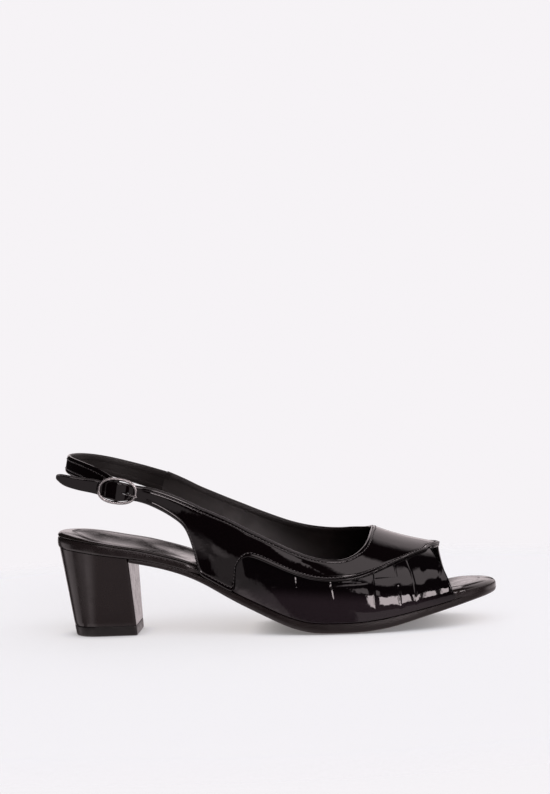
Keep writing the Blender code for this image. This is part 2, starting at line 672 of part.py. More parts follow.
def make_buckle():
    axes = buckle_axes()
    turn = 2 * math.pi * np.arange(RING_STEPS) / RING_STEPS
    cos, sin = np.cos(turn), np.sin(turn)
    swell = (np.abs(cos) ** RING_POWER + np.abs(sin) ** RING_POWER) ** (-1 / RING_POWER)
    ring = at_buckle(RING_HALF[0] * swell * cos, RING_HALF[1] * swell * sin, np.zeros(RING_STEPS))
    frame = wire("buckle_frame", ring, RING_WIRE, axes.out, closed=True)
    knee = RING_HALF[1] - BAR_KNEE
    bar = at_buckle(np.zeros(4), np.array((-RING_HALF[1], -knee, knee, RING_HALF[1])),
                    np.array((0.0, -BAR_DROP, -BAR_DROP, 0.0)))
    boolean(frame, wire("bar_tool", bar, BAR_WIRE, axes.along), "UNION")

    hook = BAR_WIRE + GAP + PRONG_WIRE
    arc = np.linspace(*PRONG_HOOK, HOOK_STEPS)
    along = hook * np.cos(arc)
    lift = hook * np.sin(arc) - BAR_DROP
    rest = RING_WIRE + GAP + PRONG_WIRE
    shaft = np.linspace(0, 1, SHAFT_STEPS)[1:]
    along = np.concatenate((along, along[-1] - (RING_HALF[0] + along[-1]) * shaft, [-PRONG_TIP]))
    lift = np.concatenate((lift, lift[-1] + (rest - lift[-1]) * shaft, [rest]))
    across = PRONG_SLANT * np.minimum(along, 0) / PRONG_TIP
    wire("buckle_prong", at_buckle(along, across, lift), PRONG_WIRE, axes.across)


def centre_over_origin():
    """Hang every piece on one empty that puts the middle of the shoe over the origin."""
    shoe = bpy.data.objects.new("sandal", None)
    bpy.context.scene.collection.objects.link(shoe)
    pieces = [piece for piece in bpy.context.scene.objects if piece.type == "MESH"]
    shown = [piece for piece in pieces if not piece.hide_render]
    corners = np.array([corner.co for piece in shown for corner in piece.data.vertices])
    middle = (corners.min(axis=0) + corners.max(axis=0)) / 2
    shoe.location = (-middle[0], -middle[1], 0.0)
    for piece in pieces:
        piece.parent = shoe


def main():
    for item in list(bpy.data.objects):
        bpy.data.objects.remove(item, do_unlink=True)
    make_sole()
    make_heel()
    make_upper()
    make_slingback()
    make_buckle()
    centre_over_origin()


main()
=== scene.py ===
"""Looks of the right slingback sandal: patent upper, wrapped sole and heel, stitches, buckle, studio.

Sizes are in millimetres in the shoe's own frame: x from the back of the heel seat to the toe,
y from the middle of the seat to the inner side of the foot, z up from the floor.
"""
import math
from collections import namedtuple

import bmesh
import bpy
import numpy as np
from mathutils import Matrix, Vector


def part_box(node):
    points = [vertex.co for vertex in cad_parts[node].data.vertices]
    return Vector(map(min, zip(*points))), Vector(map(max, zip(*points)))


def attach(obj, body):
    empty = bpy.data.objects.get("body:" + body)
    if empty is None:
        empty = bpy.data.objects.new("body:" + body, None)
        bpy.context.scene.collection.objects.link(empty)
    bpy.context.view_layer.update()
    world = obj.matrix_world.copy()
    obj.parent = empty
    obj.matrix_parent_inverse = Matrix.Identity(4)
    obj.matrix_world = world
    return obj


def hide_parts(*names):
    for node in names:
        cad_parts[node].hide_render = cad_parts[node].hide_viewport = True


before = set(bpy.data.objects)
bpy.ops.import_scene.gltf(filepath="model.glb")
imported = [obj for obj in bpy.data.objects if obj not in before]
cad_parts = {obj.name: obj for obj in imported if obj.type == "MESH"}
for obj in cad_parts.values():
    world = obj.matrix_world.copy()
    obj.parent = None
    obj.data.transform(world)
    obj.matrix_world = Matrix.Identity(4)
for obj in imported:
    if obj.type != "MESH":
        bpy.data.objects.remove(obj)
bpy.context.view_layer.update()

BODY = "root"
MM = 0.001
WELD = 1e-6
SHARP = math.radians(40.0)

# The shoe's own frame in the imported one: seat back, middle of the heel, floor
SEAT_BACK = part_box("insole_board")[0].x
HEEL_MIDDLE = (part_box("heel_top_piece")[0].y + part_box("heel_top_piece")[1].y) / 2
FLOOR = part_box("heel_top_piece")[0].z
ORIGIN = np.array((SEAT_BACK, HEEL_MIDDLE, FLOOR))

# Driving dimensions of the last and the sole
LENGTH = 243.0
BALL_WIDTH = 78.4
SEAT_HEIGHT = 49.6
BALL_HEIGHT = 5.65
TOE_SPRING = 12.75
INSTEP = 107.0
HEEL_ROUND = 27.0
TOE_ROUND = 75.0
TOE_POWER = 2.2

# Leather
GAP = 0.3
WALL = 1.4
OVERLAY = 0.8
COLLAR = WALL + GAP + OVERLAY   # full thickness of a collar edge
LAST_INSET = 1.6
BOARD_TUCK = 2.4
SOCK_MARGIN = 0.2
UPPER_BACK = (75.0, 79.5)
UPPER_FRONT = (219.3, 225.3)

# Heel block, from its top to the floor
HEEL_BACK = (0.9, 8.4)
HEEL_BREAST = (41.2, 44.2)
HEEL_HALF = (25.8, 16.2)
HEEL_BEND = (25.0, 14.0)
HEEL_WAIST = 1.15
BREAST_ROUND = 1.2
BREAST_AT = (0.94, 0.5)     # points across the flat front, as shares of its half width
HEEL_TURN_IN = (0.2, 0.25)  # how far the cover turns in at the bottom and at the seat
HEEL_LIP = 0.006            # share of the height over which it does
TOP_PIECE = 5.2
# Heights and insets of the wearing piece from the floor up, and its inset at the joint
TOP_PIECE_EDGE = ((0.0, 0.5), (0.12, 0.22), (0.4, 0.05), (0.8, 0.0), (4.8, 0.0), (5.2, 0.06))
TOP_PIECE_LIP = 0.2

# Buckle
BUCKLE_CENTRE = (39.0, -36.6, 81.6)
BUCKLE_PITCH = math.radians(10.0)
BUCKLE_SPLAY = math.radians(8.0)
RING_HALF = (10.0, 6.4)
RING_POWER = 2.4
RING_WIRE = 0.8
BAR_WIRE = 0.65
BAR_DROP = 1.5
BAR_KNEE = 1.3
PRONG_WIRE = 0.5
PRONG_TIP = 11.2
PRONG_HOOK = (math.radians(110.0), math.radians(-117.0))    # its turn round the bar
PRONG_POINT = (0.97, 0.86, 0.62, 0.15)      # shares of the wire's thickness at the tip
PRONG_BLUR = 1.2
LOOP_LEATHER = 0.7
LOOP_WIDTH = 9.8
PRONG_SLANT = 1.9
SLOT_ALONG = -5.0
SLOT_HALF = (2.5, 0.66)
SLOT_DEPTH = 6.0
SLING_THICKNESS = 2.0
ANKLE = (40.0, 0.0)

# Fineness
FINE = 1600             # samples of a blurred curve
STATIONS = 180          # along the sole
ACROSS = 26             # across the sole
EDGE_ROWS = 28          # round a sole edge
HEEL_STATIONS = 44
HEEL_LEVELS = 24
REAR_STEPS = 8          # columns per rib on the quarters
FRONT_RIB = 8           # first rib with an embossed panel
OUTER_COLUMNS = 480     # over the embossed panel
INNER_COLUMNS = 240
STRAP_STEPS = 5
LAST_ROWS = 48
PATH_STEPS = 6          # per stretch of a groove or crease
CORNER_TURN = 7         # round a front corner of the heel
WIRE_SIDES = 18
RING_STEPS = 120
BAR_STEPS = 41
HOOK_STEPS = 30
SHAFT_STEPS = 24
TIP_STEPS = 10
SLOT_SIDES = 24
LOOP_SIDES = 28
PROBE = 0.6             # mm to either side for a slope
PROBE_TURN = 0.01

# Sole: at in percent of the length, drop in percent from the ball up to the seat, rise in
# percent of the toe spring, thicknesses in mm, half in percent of the ball width, axis in mm
# to the inner side
Sole = namedtuple("Sole", "at drop rise outsole board sock half axis")
SOLE = [
    Sole(0.0, 100.0, 0.0, 2.0, 5.6, 3.2, 33.9, 0.0),
    Sole(5.0, 97.0, 0.0, 2.0, 5.5, 3.2, 33.9, 0.0),
    Sole(10.0, 92.3, 0.0, 2.0, 5.4, 3.2, 33.9, 0.0),
    Sole(15.0, 87.9, 0.0, 2.0, 4.9, 3.2, 33.8, 0.0),
    Sole(20.0, 83.8, 0.0, 2.6, 4.5, 3.2, 33.2, -0.2),
    Sole(25.0, 77.5, 0.0, 2.8, 4.1, 3.2, 32.3, -0.8),
    Sole(30.0, 69.1, 0.0, 3.2, 4.1, 3.2, 31.6, -1.5),
    Sole(34.0, 60.0, 0.0, 3.8, 4.2, 3.1, 31.5, -2.1),
    Sole(38.0, 48.1, 0.0, 4.4, 4.1, 3.0, 32.7, -2.6),
    Sole(42.0, 36.5, 0.0, 4.8, 4.0, 3.0, 34.9, -3.0),
    Sole(46.0, 26.1, 0.0, 5.0, 4.0, 3.0, 37.4, -3.1),
    Sole(50.0, 15.8, 0.0, 5.3, 4.0, 3.0, 40.6, -2.9),
    Sole(54.0, 6.5, 0.0, 5.4, 4.0, 3.0, 43.5, -2.5),
    Sole(58.0, 1.2, 0.0, 5.5, 4.0, 3.0, 46.2, -1.9),
    Sole(60.0, 0.0, 0.0, 5.5, 4.0, 3.0, 47.3, -1.5),
    Sole(68.0, 0.0, 0.0, 5.5, 4.0, 2.8, 49.8, -0.3),
    Sole(71.0, 0.0, 4.7, 5.6, 4.0, 2.7, 50.0, 0.1),
    Sole(75.0, 0.0, 14.5, 5.6, 4.0, 2.6, 50.0, 0.6),
    Sole(79.0, 0.0, 28.6, 5.2, 3.9, 2.5, 49.6, 1.0),
    Sole(83.0, 0.0, 43.5, 4.5, 3.7, 2.4, 49.0, 1.4),
    Sole(87.0, 0.0, 58.4, 4.0, 3.6, 2.4, 48.8, 1.8),
    Sole(91.0, 0.0, 74.9, 3.8, 3.3, 2.4, 48.7, 2.2),
    Sole(95.0, 0.0, 89.5, 3.4, 2.7, 2.3, 48.7, 2.5),
    Sole(100.0, 0.0, 100.0, 2.5, 2.2, 2.2, 48.7, 3.0),
]
SOLE_BLUR = 4.0
TIGHT = 0.06            # joint that shows as a fine line only
RIM_TIGHT = (44.0, 50.0)    # x over which the rim comes down to the outsole

# Edge of a plate from its bottom up: inset in mm, and levels in percent of the thickness on the
# near (outer) and on the far (inner) side
Edge = namedtuple("Edge", "inset near far")


def even_edge(*rows):
    """An edge that is the same on both sides, from insets and levels."""
    return [Edge(inset, level, level) for inset, level in rows]


OUTSOLE_EDGE = even_edge((3.5, 0), (1.2, 7), (0.3, 22), (0.0, 55), (0.2, 100))
OUTSOLE_TOE = even_edge((3.5, 0), (1.4, 8), (0.4, 30), (0.05, 65), (0.0, 100))
BOARD_EDGE = even_edge((0.5, 0), (0.1, 20), (0.0, 55), (0.2, 85), (0.6, 100))
BOARD_TOE = even_edge((0.0, 0), (0.0, 20), (0.0, 55), (0.05, 85), (0.1, 100))
SOCK_EDGE = [Edge(0.4, 0.0, 0.0), Edge(0.0, 12.0, 16.0), Edge(0.3, 25.0, 42.0), Edge(0.9, 33.0, 66.0),
             Edge(1.6, 36.0, 80.0), Edge(2.2, 35.0, 86.0), Edge(2.6, 30.0, 87.0), Edge(3.1, 30.0, 91.0),
             Edge(5.0, 31.0, 97.0), Edge(8.0, 33.0, 100.0)]
SOCK_TOE = [Edge(0.1, 0.0, 0.0), Edge(0.2, 16.0, 16.0), Edge(0.8, 38.0, 45.0), Edge(1.6, 57.0, 70.0),
            Edge(2.6, 71.0, 84.0), Edge(3.8, 82.0, 92.0), Edge(5.0, 90.0, 96.0), Edge(6.2, 95.0, 98.0),
            Edge(7.2, 98.0, 100.0), Edge(8.4, 100.0, 100.0)]
HEEL_EDGE = 30.0            # length at the back over which the near side takes the far side's form
TOE_EDGE = (185.0, 215.0)   # x over which the edges take the toe's form
CUP = (0.8, 0.2)            # depth of the sock's cupped top at the heel and at the toe
CUP_HEEL_END = (110.0, 140.0)
CUP_TOE_START = (185.0, 210.0)

# Last: at in percent of the length, ridge in percent of the instep, and in mm the ridge's place to
# the inner side, the swell of both sides and the tuck of the outer quarter
Last = namedtuple("Last", "at ridge ridge_y swell_out swell_in tuck")
LAST = [
    Last(20.6, 104.7, 0.0, 14.0, 15.0, 0.0),
    Last(31.7, 100.0, 2.0, 13.0, 15.0, 2.2),
    Last(43.2, 88.8, 4.0, 9.0, 11.0, 2.4),
    Last(51.9, 75.7, 5.0, 3.5, 6.5, 0.8),
    Last(58.4, 65.3, 6.0, 1.0, 3.5, 0.0),
    Last(65.8, 55.2, 6.0, 0.6, 1.8, 0.0),
    Last(72.0, 48.2, 6.0, 0.8, 1.2, 0.0),
    Last(78.2, 43.0, 5.5, 1.0, 1.0, 0.0),
    Last(84.4, 39.6, 5.0, 1.0, 1.0, 0.0),
    Last(91.4, 36.3, 4.0, 1.0, 1.0, 0.0),
]
LAST_BLUR = 7.0
TUCK_TURN = (math.radians(14.0), math.radians(32.0))

# Ribs of the wall from the outer strap's root over the ridge, each from the topline (top) over the
# collar's lower edge (seam) to the wall's edge: places in percent of the length, angles (up) in
# degrees up from the sole, 90 being the ridge, on the outer (out) and the inner side (in)
Rib = namedtuple("Rib", "top top_up_out top_up_in seam seam_up edge_out edge_up_out edge_in edge_up_in")
RIBS = [
    Rib(24.5, 36.4, 41.5, 22.7, 27.5, 22.7, 27.5, 22.7, 28.6),
    Rib(27.2, 35.0, 39.9, 26.7, 24.6, 26.7, 24.6, 26.7, 25.4),
    Rib(29.6, 33.8, 38.5, 29.6, 21.9, 29.6, 21.9, 29.6, 22.7),
    Rib(32.5, 32.6, 37.0, 31.3, 16.5, 31.3, 16.5, 31.3, 16.7),
    Rib(35.4, 31.9, 36.7, 32.5, 7.7, 32.5, 7.7, 32.5, 7.7),
    Rib(37.9, 31.9, 36.8, 33.4, 0.0, 33.4, 0.0, 33.4, 0.0),
    Rib(40.3, 32.0, 37.1, 37.4, 0.0, 37.4, 0.0, 37.4, 0.0),
    Rib(42.4, 31.8, 37.5, 41.0, 0.0, 41.0, 0.0, 41.0, 0.0),
    Rib(43.6, 31.7, 37.7, 41.3, 9.6, 42.8, 0.0, 42.8, 0.0),
    Rib(45.3, 31.6, 38.1, 42.7, 15.6, 44.8, 0.0, 44.8, 0.0),
    Rib(47.3, 31.8, 38.8, 45.3, 19.9, 47.0, 0.0, 47.0, 0.0),
    Rib(51.9, 32.3, 40.9, 51.9, 20.6, 52.3, 0.0, 52.3, 0.0),
    Rib(58.4, 33.2, 46.0, 59.7, 21.1, 59.7, 0.0, 59.7, 0.0),
    Rib(64.2, 36.0, 53.4, 67.1, 25.1, 67.9, 0.0, 67.9, 0.0),
    Rib(67.7, 42.4, 62.0, 72.8, 33.2, 74.9, 0.0, 74.9, 0.0),
    Rib(70.1, 52.8, 69.0, 78.2, 45.8, 81.9, 0.0, 81.9, 0.0),
    Rib(71.0, 62.0, 74.5, 81.1, 53.6, 87.2, 0.0, 87.2, 0.0),
    Rib(71.4, 70.0, 79.0, 83.0, 59.3, 90.3, 0.0, 90.3, 0.0),
    Rib(71.6, 77.0, 83.0, 84.3, 64.4, 88.2, 35.5, 88.6, 20.0),
    Rib(71.8, 82.0, 86.0, 84.9, 72.0, 84.9, 72.0, 87.5, 55.0),
    Rib(71.83, 86.5, 88.2, 86.4, 79.0, 86.4, 79.0, 87.4, 75.0),
    Rib(71.85, 90.0, 90.0, 87.4, 90.0, 87.4, 90.0, 87.4, 90.0),
]
RIB_BLUR = 0.3          # in ribs
LAPPED = (4.0, 8.5)     # ribs over which the collar's free lower edge turns into a lapped one

# Outer strap in the buckle's own directions, with its reach over and under the middle line
StrapEnd = namedtuple("StrapEnd", "along rise lift over under")
STRAP_END = [
    StrapEnd(-14.0, -0.5, -3.5, 4.7, 4.3),
    StrapEnd(-9.5, -0.1, -3.8, 4.3, 4.1),
    StrapEnd(-7.0, 0.0, -3.6, 4.1, 4.3),
    StrapEnd(-5.0, 0.0, -2.1, 4.6, 4.7),
    StrapEnd(-2.5, 0.0, 0.0, 5.05, 5.05),
    StrapEnd(0.0, 0.0, 0.8, 5.4, 5.4),
    StrapEnd(2.5, 0.0, 0.0, 5.05, 5.05),
    StrapEnd(5.0, 0.1, -2.1, 4.5, 4.7),
    StrapEnd(7.0, 0.2, -3.6, 3.9, 4.4),
    StrapEnd(9.5, 0.6, -3.8, 3.9, 4.2),
    StrapEnd(13.0, 1.1, -3.3, 3.7, 4.1),
    StrapEnd(21.0, 1.6, -2.0, 3.4, 3.8),
    StrapEnd(27.5, 2.3, -0.9, 3.1, 3.3),
    StrapEnd(31.0, 2.8, -0.4, 2.8, 2.3),
    StrapEnd(33.0, 3.2, -0.1, 2.0, 1.1),
    StrapEnd(33.6, 3.4, -0.1, 1.1, 0.4),
]

# Slingback from the seam on the inner side round the back: middle line, width, and lean in degrees
# to the ankle. Its end is given in the buckle's own directions
Sling = namedtuple("Sling", "x y z width lean")
SLING = [
    Sling(56.9, 33.2, 81.0, 12.6, 6.0),
    Sling(46.0, 34.0, 84.8, 12.0, 6.0),
    Sling(33.0, 32.6, 89.2, 11.2, 7.0),
    Sling(20.0, 26.0, 93.0, 11.0, 9.0),
    Sling(10.9, 13.5, 95.3, 10.4, 11.0),
    Sling(7.4, 0.0, 95.9, 9.8, 12.0),
    Sling(10.4, -13.0, 95.0, 9.8, 11.0),
    Sling(18.6, -23.6, 92.4, 10.0, 9.0),
    Sling(27.0, -29.6, 89.0, 10.2, 6.0),
]
SlingEnd = namedtuple("SlingEnd", "along rise lift width")
SLING_END = [
    SlingEnd(6.0, 2.5, -4.6, 10.8),
    SlingEnd(2.6, 0.6, -3.1, 10.4),
    SlingEnd(0.6, 0.0, -2.4, 9.8),
]
SLING_STEPS = 18
SEAM_CLOSE = 0.5        # how far the sling's end is drawn up to the quarter
SLING_BLUR = 0.3        # in rows
# Thin end of the slingback under the quarter: reach to both sides of the seam, trim and thickness
Tongue = namedtuple("Tongue", "back front trim thickness")
TONGUE = Tongue(2.0, 2.6, 0.9, 0.8)

# Edges of a band of leather, from its inside over the edge to its outside: distance in from
# the edge and height over the inner face, in mm, on a band as thick as the collar
Profile = namedtuple("Profile", "inward height")
EDGE_TURN = 9
STITCH_IN = 2.35
FREE_EDGE = [Profile(3.5, 0.45), Profile(3.3, -0.02), Profile(2.6, -0.10), Profile(1.9, -0.08)]
FREE_EDGE += [Profile(COLLAR / 2 * (1 - math.sin(turn)), COLLAR / 2 * (1 + math.cos(turn)))
              for turn in np.linspace(math.pi, 0, EDGE_TURN)]
FREE_EDGE += [Profile(1.75, 2.5), Profile(2.1, 2.44), Profile(STITCH_IN, 2.34), Profile(2.6, 2.44),
              Profile(3.0, 2.5)]
LAPPED_EDGE = [
    Profile(2.6, 1.44), Profile(1.9, 1.44), Profile(1.2, 1.44), Profile(0.6, 1.44), Profile(0.2, 1.46),
    Profile(0.0, 1.6), Profile(-0.05, 1.85), Profile(-0.05, 2.15), Profile(0.0, 2.45),
    Profile(0.12, 2.74), Profile(0.35, 2.94), Profile(0.7, 3.02), Profile(1.05, 2.9),
    Profile(1.4, 2.66), Profile(1.8, 2.44), Profile(STITCH_IN, 2.34), Profile(2.75, 2.44),
    Profile(3.15, 2.5),
]
CHANNEL_ROWS = 5        # rows of an edge that form the channel of its stitches
BAND_ROWS = 18          # across the outside between the two edges
BACK_ROWS = 5           # across the inside between the two edges
INSIDE_ROWS = 7         # rows of each edge that belong to the lining
BAND_LEAST = 7.4        # a narrower band has its edges drawn in

# Grooves of the embossed panel and creases of the whole wall, in mm, through places in percent of
# the length and degrees up from the sole. A pillow is the soft slope on both sides of a groove
Groove = namedtuple("Groove", "depth width pillow places")
GROOVES = [
    Groove(0.16, 0.42, 0.05, ((55.1, 20), (55.3, 14), (55.6, 8))),
    Groove(0.16, 0.42, 0.05, ((62.8, 22), (63.2, 17), (63.6, 10))),
    Groove(0.20, 0.45, 0.10, ((72.0, 32), (72.2, 18), (72.4, 3))),
    Groove(0.16, 0.42, 0.06, ((76.6, 46), (77.2, 34), (77.4, 24))),
    Groove(0.24, 0.50, 0.12, ((77.6, 23), (77.8, 16), (78.0, 3))),
    Groove(0.34, 0.60, 0.16, ((79.7, 50), (80.7, 34), (81.3, 19), (81.4, 3))),
    Groove(0.14, 0.42, 0.03, ((49.6, 10), (55.3, 16), (62.8, 20))),
    Groove(0.18, 0.45, 0.10, ((62.8, 20), (65.4, 22), (72.0, 26))),
    Groove(0.14, 0.42, 0.05, ((72.0, 28), (76.7, 30), (80.6, 30))),
]
PILLOW_WIDTH = 2.2
GROOVE_FADE = 0.6       # share of a groove after which it dies away
GROOVE_EDGE = (0.6, 2.0)    # mm from the wall's edge over which the grooves start
PANEL_START = (-1.0, 0.5)   # mm past the collar's edge over which they start
INNER_SHIFT = -2.4      # percent that the pattern of the inner side is moved, to the back
Crease = namedtuple("Crease", "height width places")
CREASES = [
    Crease(-0.14, 1.7, ((68.6, 45), (71.4, 49), (74.2, 47), (77.4, 53))),
    Crease(0.10, 2.4, ((65.6, 38), (69.5, 43), (74.4, 41))),
    Crease(0.16, 2.6, ((43.2, 30), (44.3, 22), (43.4, 15), (44.4, 8))),
    Crease(-0.10, 2.2, ((35.0, 17), (38.6, 14), (42.0, 15))),
    Crease(0.55, 5.0, ((82.6, 37), (85.2, 36), (87.4, 33))),
]
CREASE_FADE = 0.25      # share of a crease over which each end dies away

PANEL_ROWS = 66
LINING_ROWS = 16
PANEL_LAP = 3.0         # panel that lies under the collar
LINING_IN = 2.5         # lining starts this far inside a free edge
LINING_LIFT = 0.02      # lining over the inner face
HIDDEN_HEIGHT = 0.6     # outside of the wall where the collar covers it
HIDDEN_TURN = 0.5       # height of its edge there
WALL_TURN = 7
EDGE_IN = 0.35          # how far the wall's rounded edge reaches in
PEEP_BEAD = (0.4, 1.3, 0.6)     # rolled edge of the open toe: height, distance in, half width
PEEP_RIBS = (17.0, 17.8)
FEATHER = (1.0, 0.5)            # how far the wall turns in over the sole's edge, waist and toe
FEATHER_HEIGHT = (15.0, 6.0)    # and from which height
FEATHER_CHANGE = (62.0, 72.0)   # percent of the length between the two

# Stitches
Stitch = namedtuple("Stitch", "pitch length thickness sink")
STITCH = Stitch(1.95, 1.5, 0.5, 0.02)
STITCH_HEIGHT = 2.38    # over the inner face of a band as thick as the collar
LOW_STITCH_RIB = 2.6    # rib at which the lower row of the quarter starts
STITCH_ROOM = 2.6       # a band narrower than this many edge distances has no stitches
STITCH_ARCH = 0.35      # share of the thickness
STITCH_FULLNESS = 4
STITCH_TIP = 0.02
STITCH_PROBE = 0.3
STITCH_RINGS = 5
STITCH_SIDES = 6


# Curves

def blur(values, sigma):
    """Gaussian blur along the first axis, carrying the end slopes on past both ends."""
    reach = int(4 * sigma) + 1
    steps = np.arange(reach, 0, -1).reshape((-1,) + (1,) * (values.ndim - 1))
    before = values[0] - (values[1] - values[0]) * steps
    after = values[-1] + (values[-1] - values[-2]) * steps[::-1]
    padded = np.concatenate((before, values, after))
    weight = np.exp(-0.5 * (np.arange(-reach, reach + 1) / sigma) ** 2)
    weight /= weight.sum()
    count = len(values)
    return sum(w * padded[i:i + count] for i, w in enumerate(weight))


def curve(knots, values, spread=0.0):
    """Monotone cubic through the knots, blurred where a spread is given."""
    knots = np.asarray(knots, float)
    values = np.asarray(values, float)
    step = np.diff(knots)
    rise = np.diff(values) / step
    slope = np.concatenate(([rise[0]], np.zeros(len(rise) - 1), [rise[-1]]))
    for i in range(1, len(rise)):
        if rise[i - 1] * rise[i] > 0:
            before = 2 * step[i] + step[i - 1]
            after = step[i] + 2 * step[i - 1]
            slope[i] = (before + after) / (before / rise[i - 1] + after / rise[i])

    def at(x):
        x = np.asarray(x, float)
        i = np.clip(np.searchsorted(knots, x) - 1, 0, len(step) - 1)
        t = (x - knots[i]) / step[i]
        ends = values[i] + (values[i + 1] - values[i]) * t * t * (3 - 2 * t)
        leave = slope[i] * t * (1 - t) ** 2
        arrive = slope[i + 1] * t * t * (t - 1)
        return ends + step[i] * (leave + arrive)

    if not spread:
        return at
    fine = np.linspace(knots[0], knots[-1], FINE + 1)
    level = blur(at(fine), spread * FINE / (knots[-1] - knots[0]))
    return lambda x: np.interp(x, fine, level)


def columns(table, knots, spread=0.0):
    """A curve for each column of a table, under the column's name."""
    return type(table[0])(*(curve(knots, column, spread) for column in zip(*table)))


def smooth_step(x, start, end):
    t = np.clip((np.asarray(x, float) - start) / (end - start), 0, 1)
    return t * t * (3 - 2 * t)


def unit(vectors):
    return vectors / np.linalg.norm(vectors, axis=-1, keepdims=True)


sole = columns(SOLE, [LENGTH * row.at / 100 for row in SOLE], SOLE_BLUR)
last = columns(LAST, [LENGTH * row.at / 100 for row in LAST], LAST_BLUR)


# The sole's outline and levels

def rounding(x):
    """Share of the full half width left where the seat and the toe round off."""
    heel = np.clip(1 - x / HEEL_ROUND, 0, 1)
    toe = np.clip((x - LENGTH + TOE_ROUND) / TOE_ROUND, 0, 1)
    return np.sqrt(1 - heel ** 2) * np.sqrt(1 - toe ** TOE_POWER)


def outline(x, side):
    """y of the sole's edge, on the outer (side -1) or the inner side (side 1)."""
    return sole.axis(x) + side * BALL_WIDTH * sole.half(x) / 100 * rounding(x)


def joint(x):
    """Height of the glue line between the outsole or heel and what lies on it."""
    climb = (SEAT_HEIGHT - BALL_HEIGHT) * sole.drop(x) / 100
    return BALL_HEIGHT + climb + TOE_SPRING * sole.rise(x) / 100


def under_joint(x):
    return joint(x) - GAP / 2


def over_joint(x):
    return joint(x) + GAP / 2


def tread(x):
    return np.maximum(under_joint(x) - sole.outsole(x), 0.0)


def board_top(x):
    return over_joint(x) + sole.board(x)


def sock_bottom(x):
    return board_top(x) + GAP


def sock_top(x):
    return sock_bottom(x) + sole.sock(x)


def board_inset(x):
    """How far the insole board is drawn in where the upper wraps it."""
    start = smooth_step(x, *UPPER_BACK)
    end = smooth_step(x, *UPPER_FRONT)
    return BOARD_TUCK * start * (1 - end)


def side_normals(points, side):
    """Outward plan normals along one side of an outline, straight out at its two tips."""
    tangent = np.gradient(points, axis=0)
    normal = np.stack((-tangent[:, 1], tangent[:, 0]), axis=1) * side
    normal[points[:, 0] <= 0] = (-1, 0)
    normal[points[:, 0] >= LENGTH] = (1, 0)
    return unit(normal)


def plan_loop(x, inset):
    """Closed plan outline, up the outer side and back down the inner side, drawn in by inset."""
    sides = []
    for side in (-1, 1):
        points = np.stack((x, outline(x, side)), axis=1)
        points = points - side_normals(points, side) * np.broadcast_to(inset, x.shape)[:, None]
        sides.append(points)
    return np.concatenate((sides[0], sides[1][::-1]))


# Meshes

def grid_faces(index, wrap=False):
    """Quads over a grid of vertex numbers, closed round its second axis where wrap is set."""
    if wrap:
        index = np.concatenate((index, index[:, :1]), axis=1)
    corners = (index[:-1, :-1], index[1:, :-1], index[1:, 1:], index[:-1, 1:])
    return np.stack(corners, axis=-1).reshape(-1, 4).tolist()


def mesh_piece(name, points, faces, materials, finish=None):
    """Smooth object from points in mm. The finish gives each face's place in materials."""
    mesh = bpy.data.meshes.new(name)
    mesh.from_pydata((np.asarray(points) * MM + ORIGIN).tolist(), [], faces)
    for material in materials:
        mesh.materials.append(material)
    if finish is not None:
        mesh.polygons.foreach_set("material_index", np.asarray(finish, np.int32))
    build = bmesh.new()
    build.from_mesh(mesh)
    bmesh.ops.remove_doubles(build, verts=build.verts, dist=WELD)
    bmesh.ops.recalc_face_normals(build, faces=build.faces)
    build.to_mesh(mesh)
    build.free()
    mesh.shade_smooth()
    mesh.set_sharp_from_angle(angle=SHARP)
    piece = bpy.data.objects.new(name, mesh)
    bpy.context.scene.collection.objects.link(piece)
    return piece


def dress(piece, slot, *nodes):
    """Fix a piece to the shoe and hide the nodes that it stands for. The slot is not used."""
    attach(piece, BODY)
    if nodes:
        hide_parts(*nodes)
    return piece


def tube(loops):
    """Points and faces over closed loops in a row, with a face across each end."""
    count, rows = loops.shape[:2]
    index = np.arange(count * rows).reshape(count, rows)
    return loops.reshape(-1, 3), grid_faces(index, wrap=True) + [index[0].tolist(), index[-1].tolist()]


def closed_ring(loops):
    """Points and faces over closed loops whose row closes on itself."""
    count, rows = loops.shape[:2]
    index = np.arange(count * rows).reshape(count, rows)
    return loops.reshape(-1, 3), grid_faces(np.concatenate((index, index[:1])), wrap=True)


def joined(*shapes):
    """Points and faces of several shapes as one."""
    points, faces, start = [], [], 0
    for shape_points, shape_faces in shapes:
        faces += [[start + i for i in face] for face in shape_faces]
        points.append(shape_points)
        start += len(shape_points)
    return np.concatenate(points), faces


def circle(sides):
    return 2 * math.pi * np.arange(sides) / sides


def cut(piece, points, faces):
    """Cut a closed shape out of a piece."""
    cutter = mesh_piece("cutter", points, faces, [])
    modifier = piece.modifiers.new("cut", "BOOLEAN")
    modifier.object = cutter
    shown = piece.evaluated_get(bpy.context.evaluated_depsgraph_get())
    mesh = bpy.data.meshes.new_from_object(shown)
    piece.modifiers.clear()
    piece.data = mesh
    bpy.data.objects.remove(cutter, do_unlink=True)


# Materials

# Cloudy patterns: size of their features in mm, octaves of detail and their roughness
Cloud = namedtuple("Cloud", "size detail roughness")
GLOSS_SPOTS = Cloud(9.0, 3.0, 0.5)
PEEL = Cloud(6.0, 2.0, 0.5)
FINE_PEEL = Cloud(0.8, 2.0, 0.5)
TONE_SPOTS = Cloud(14.0, 4.0, 0.6)
RUBBED_SPOTS = Cloud(6.0, 5.0, 0.65)
THREAD_TWIST = Cloud(0.25, 2.0, 0.5)
METAL_SPOTS = Cloud(3.0, 5.0, 0.7)
METAL_GRAIN = Cloud(0.6, 4.0, 0.6)
RUBBER_SPOTS = Cloud(2.0, 4.0, 0.5)
RUBBER_GRAIN = Cloud(0.5, 3.0, 0.5)

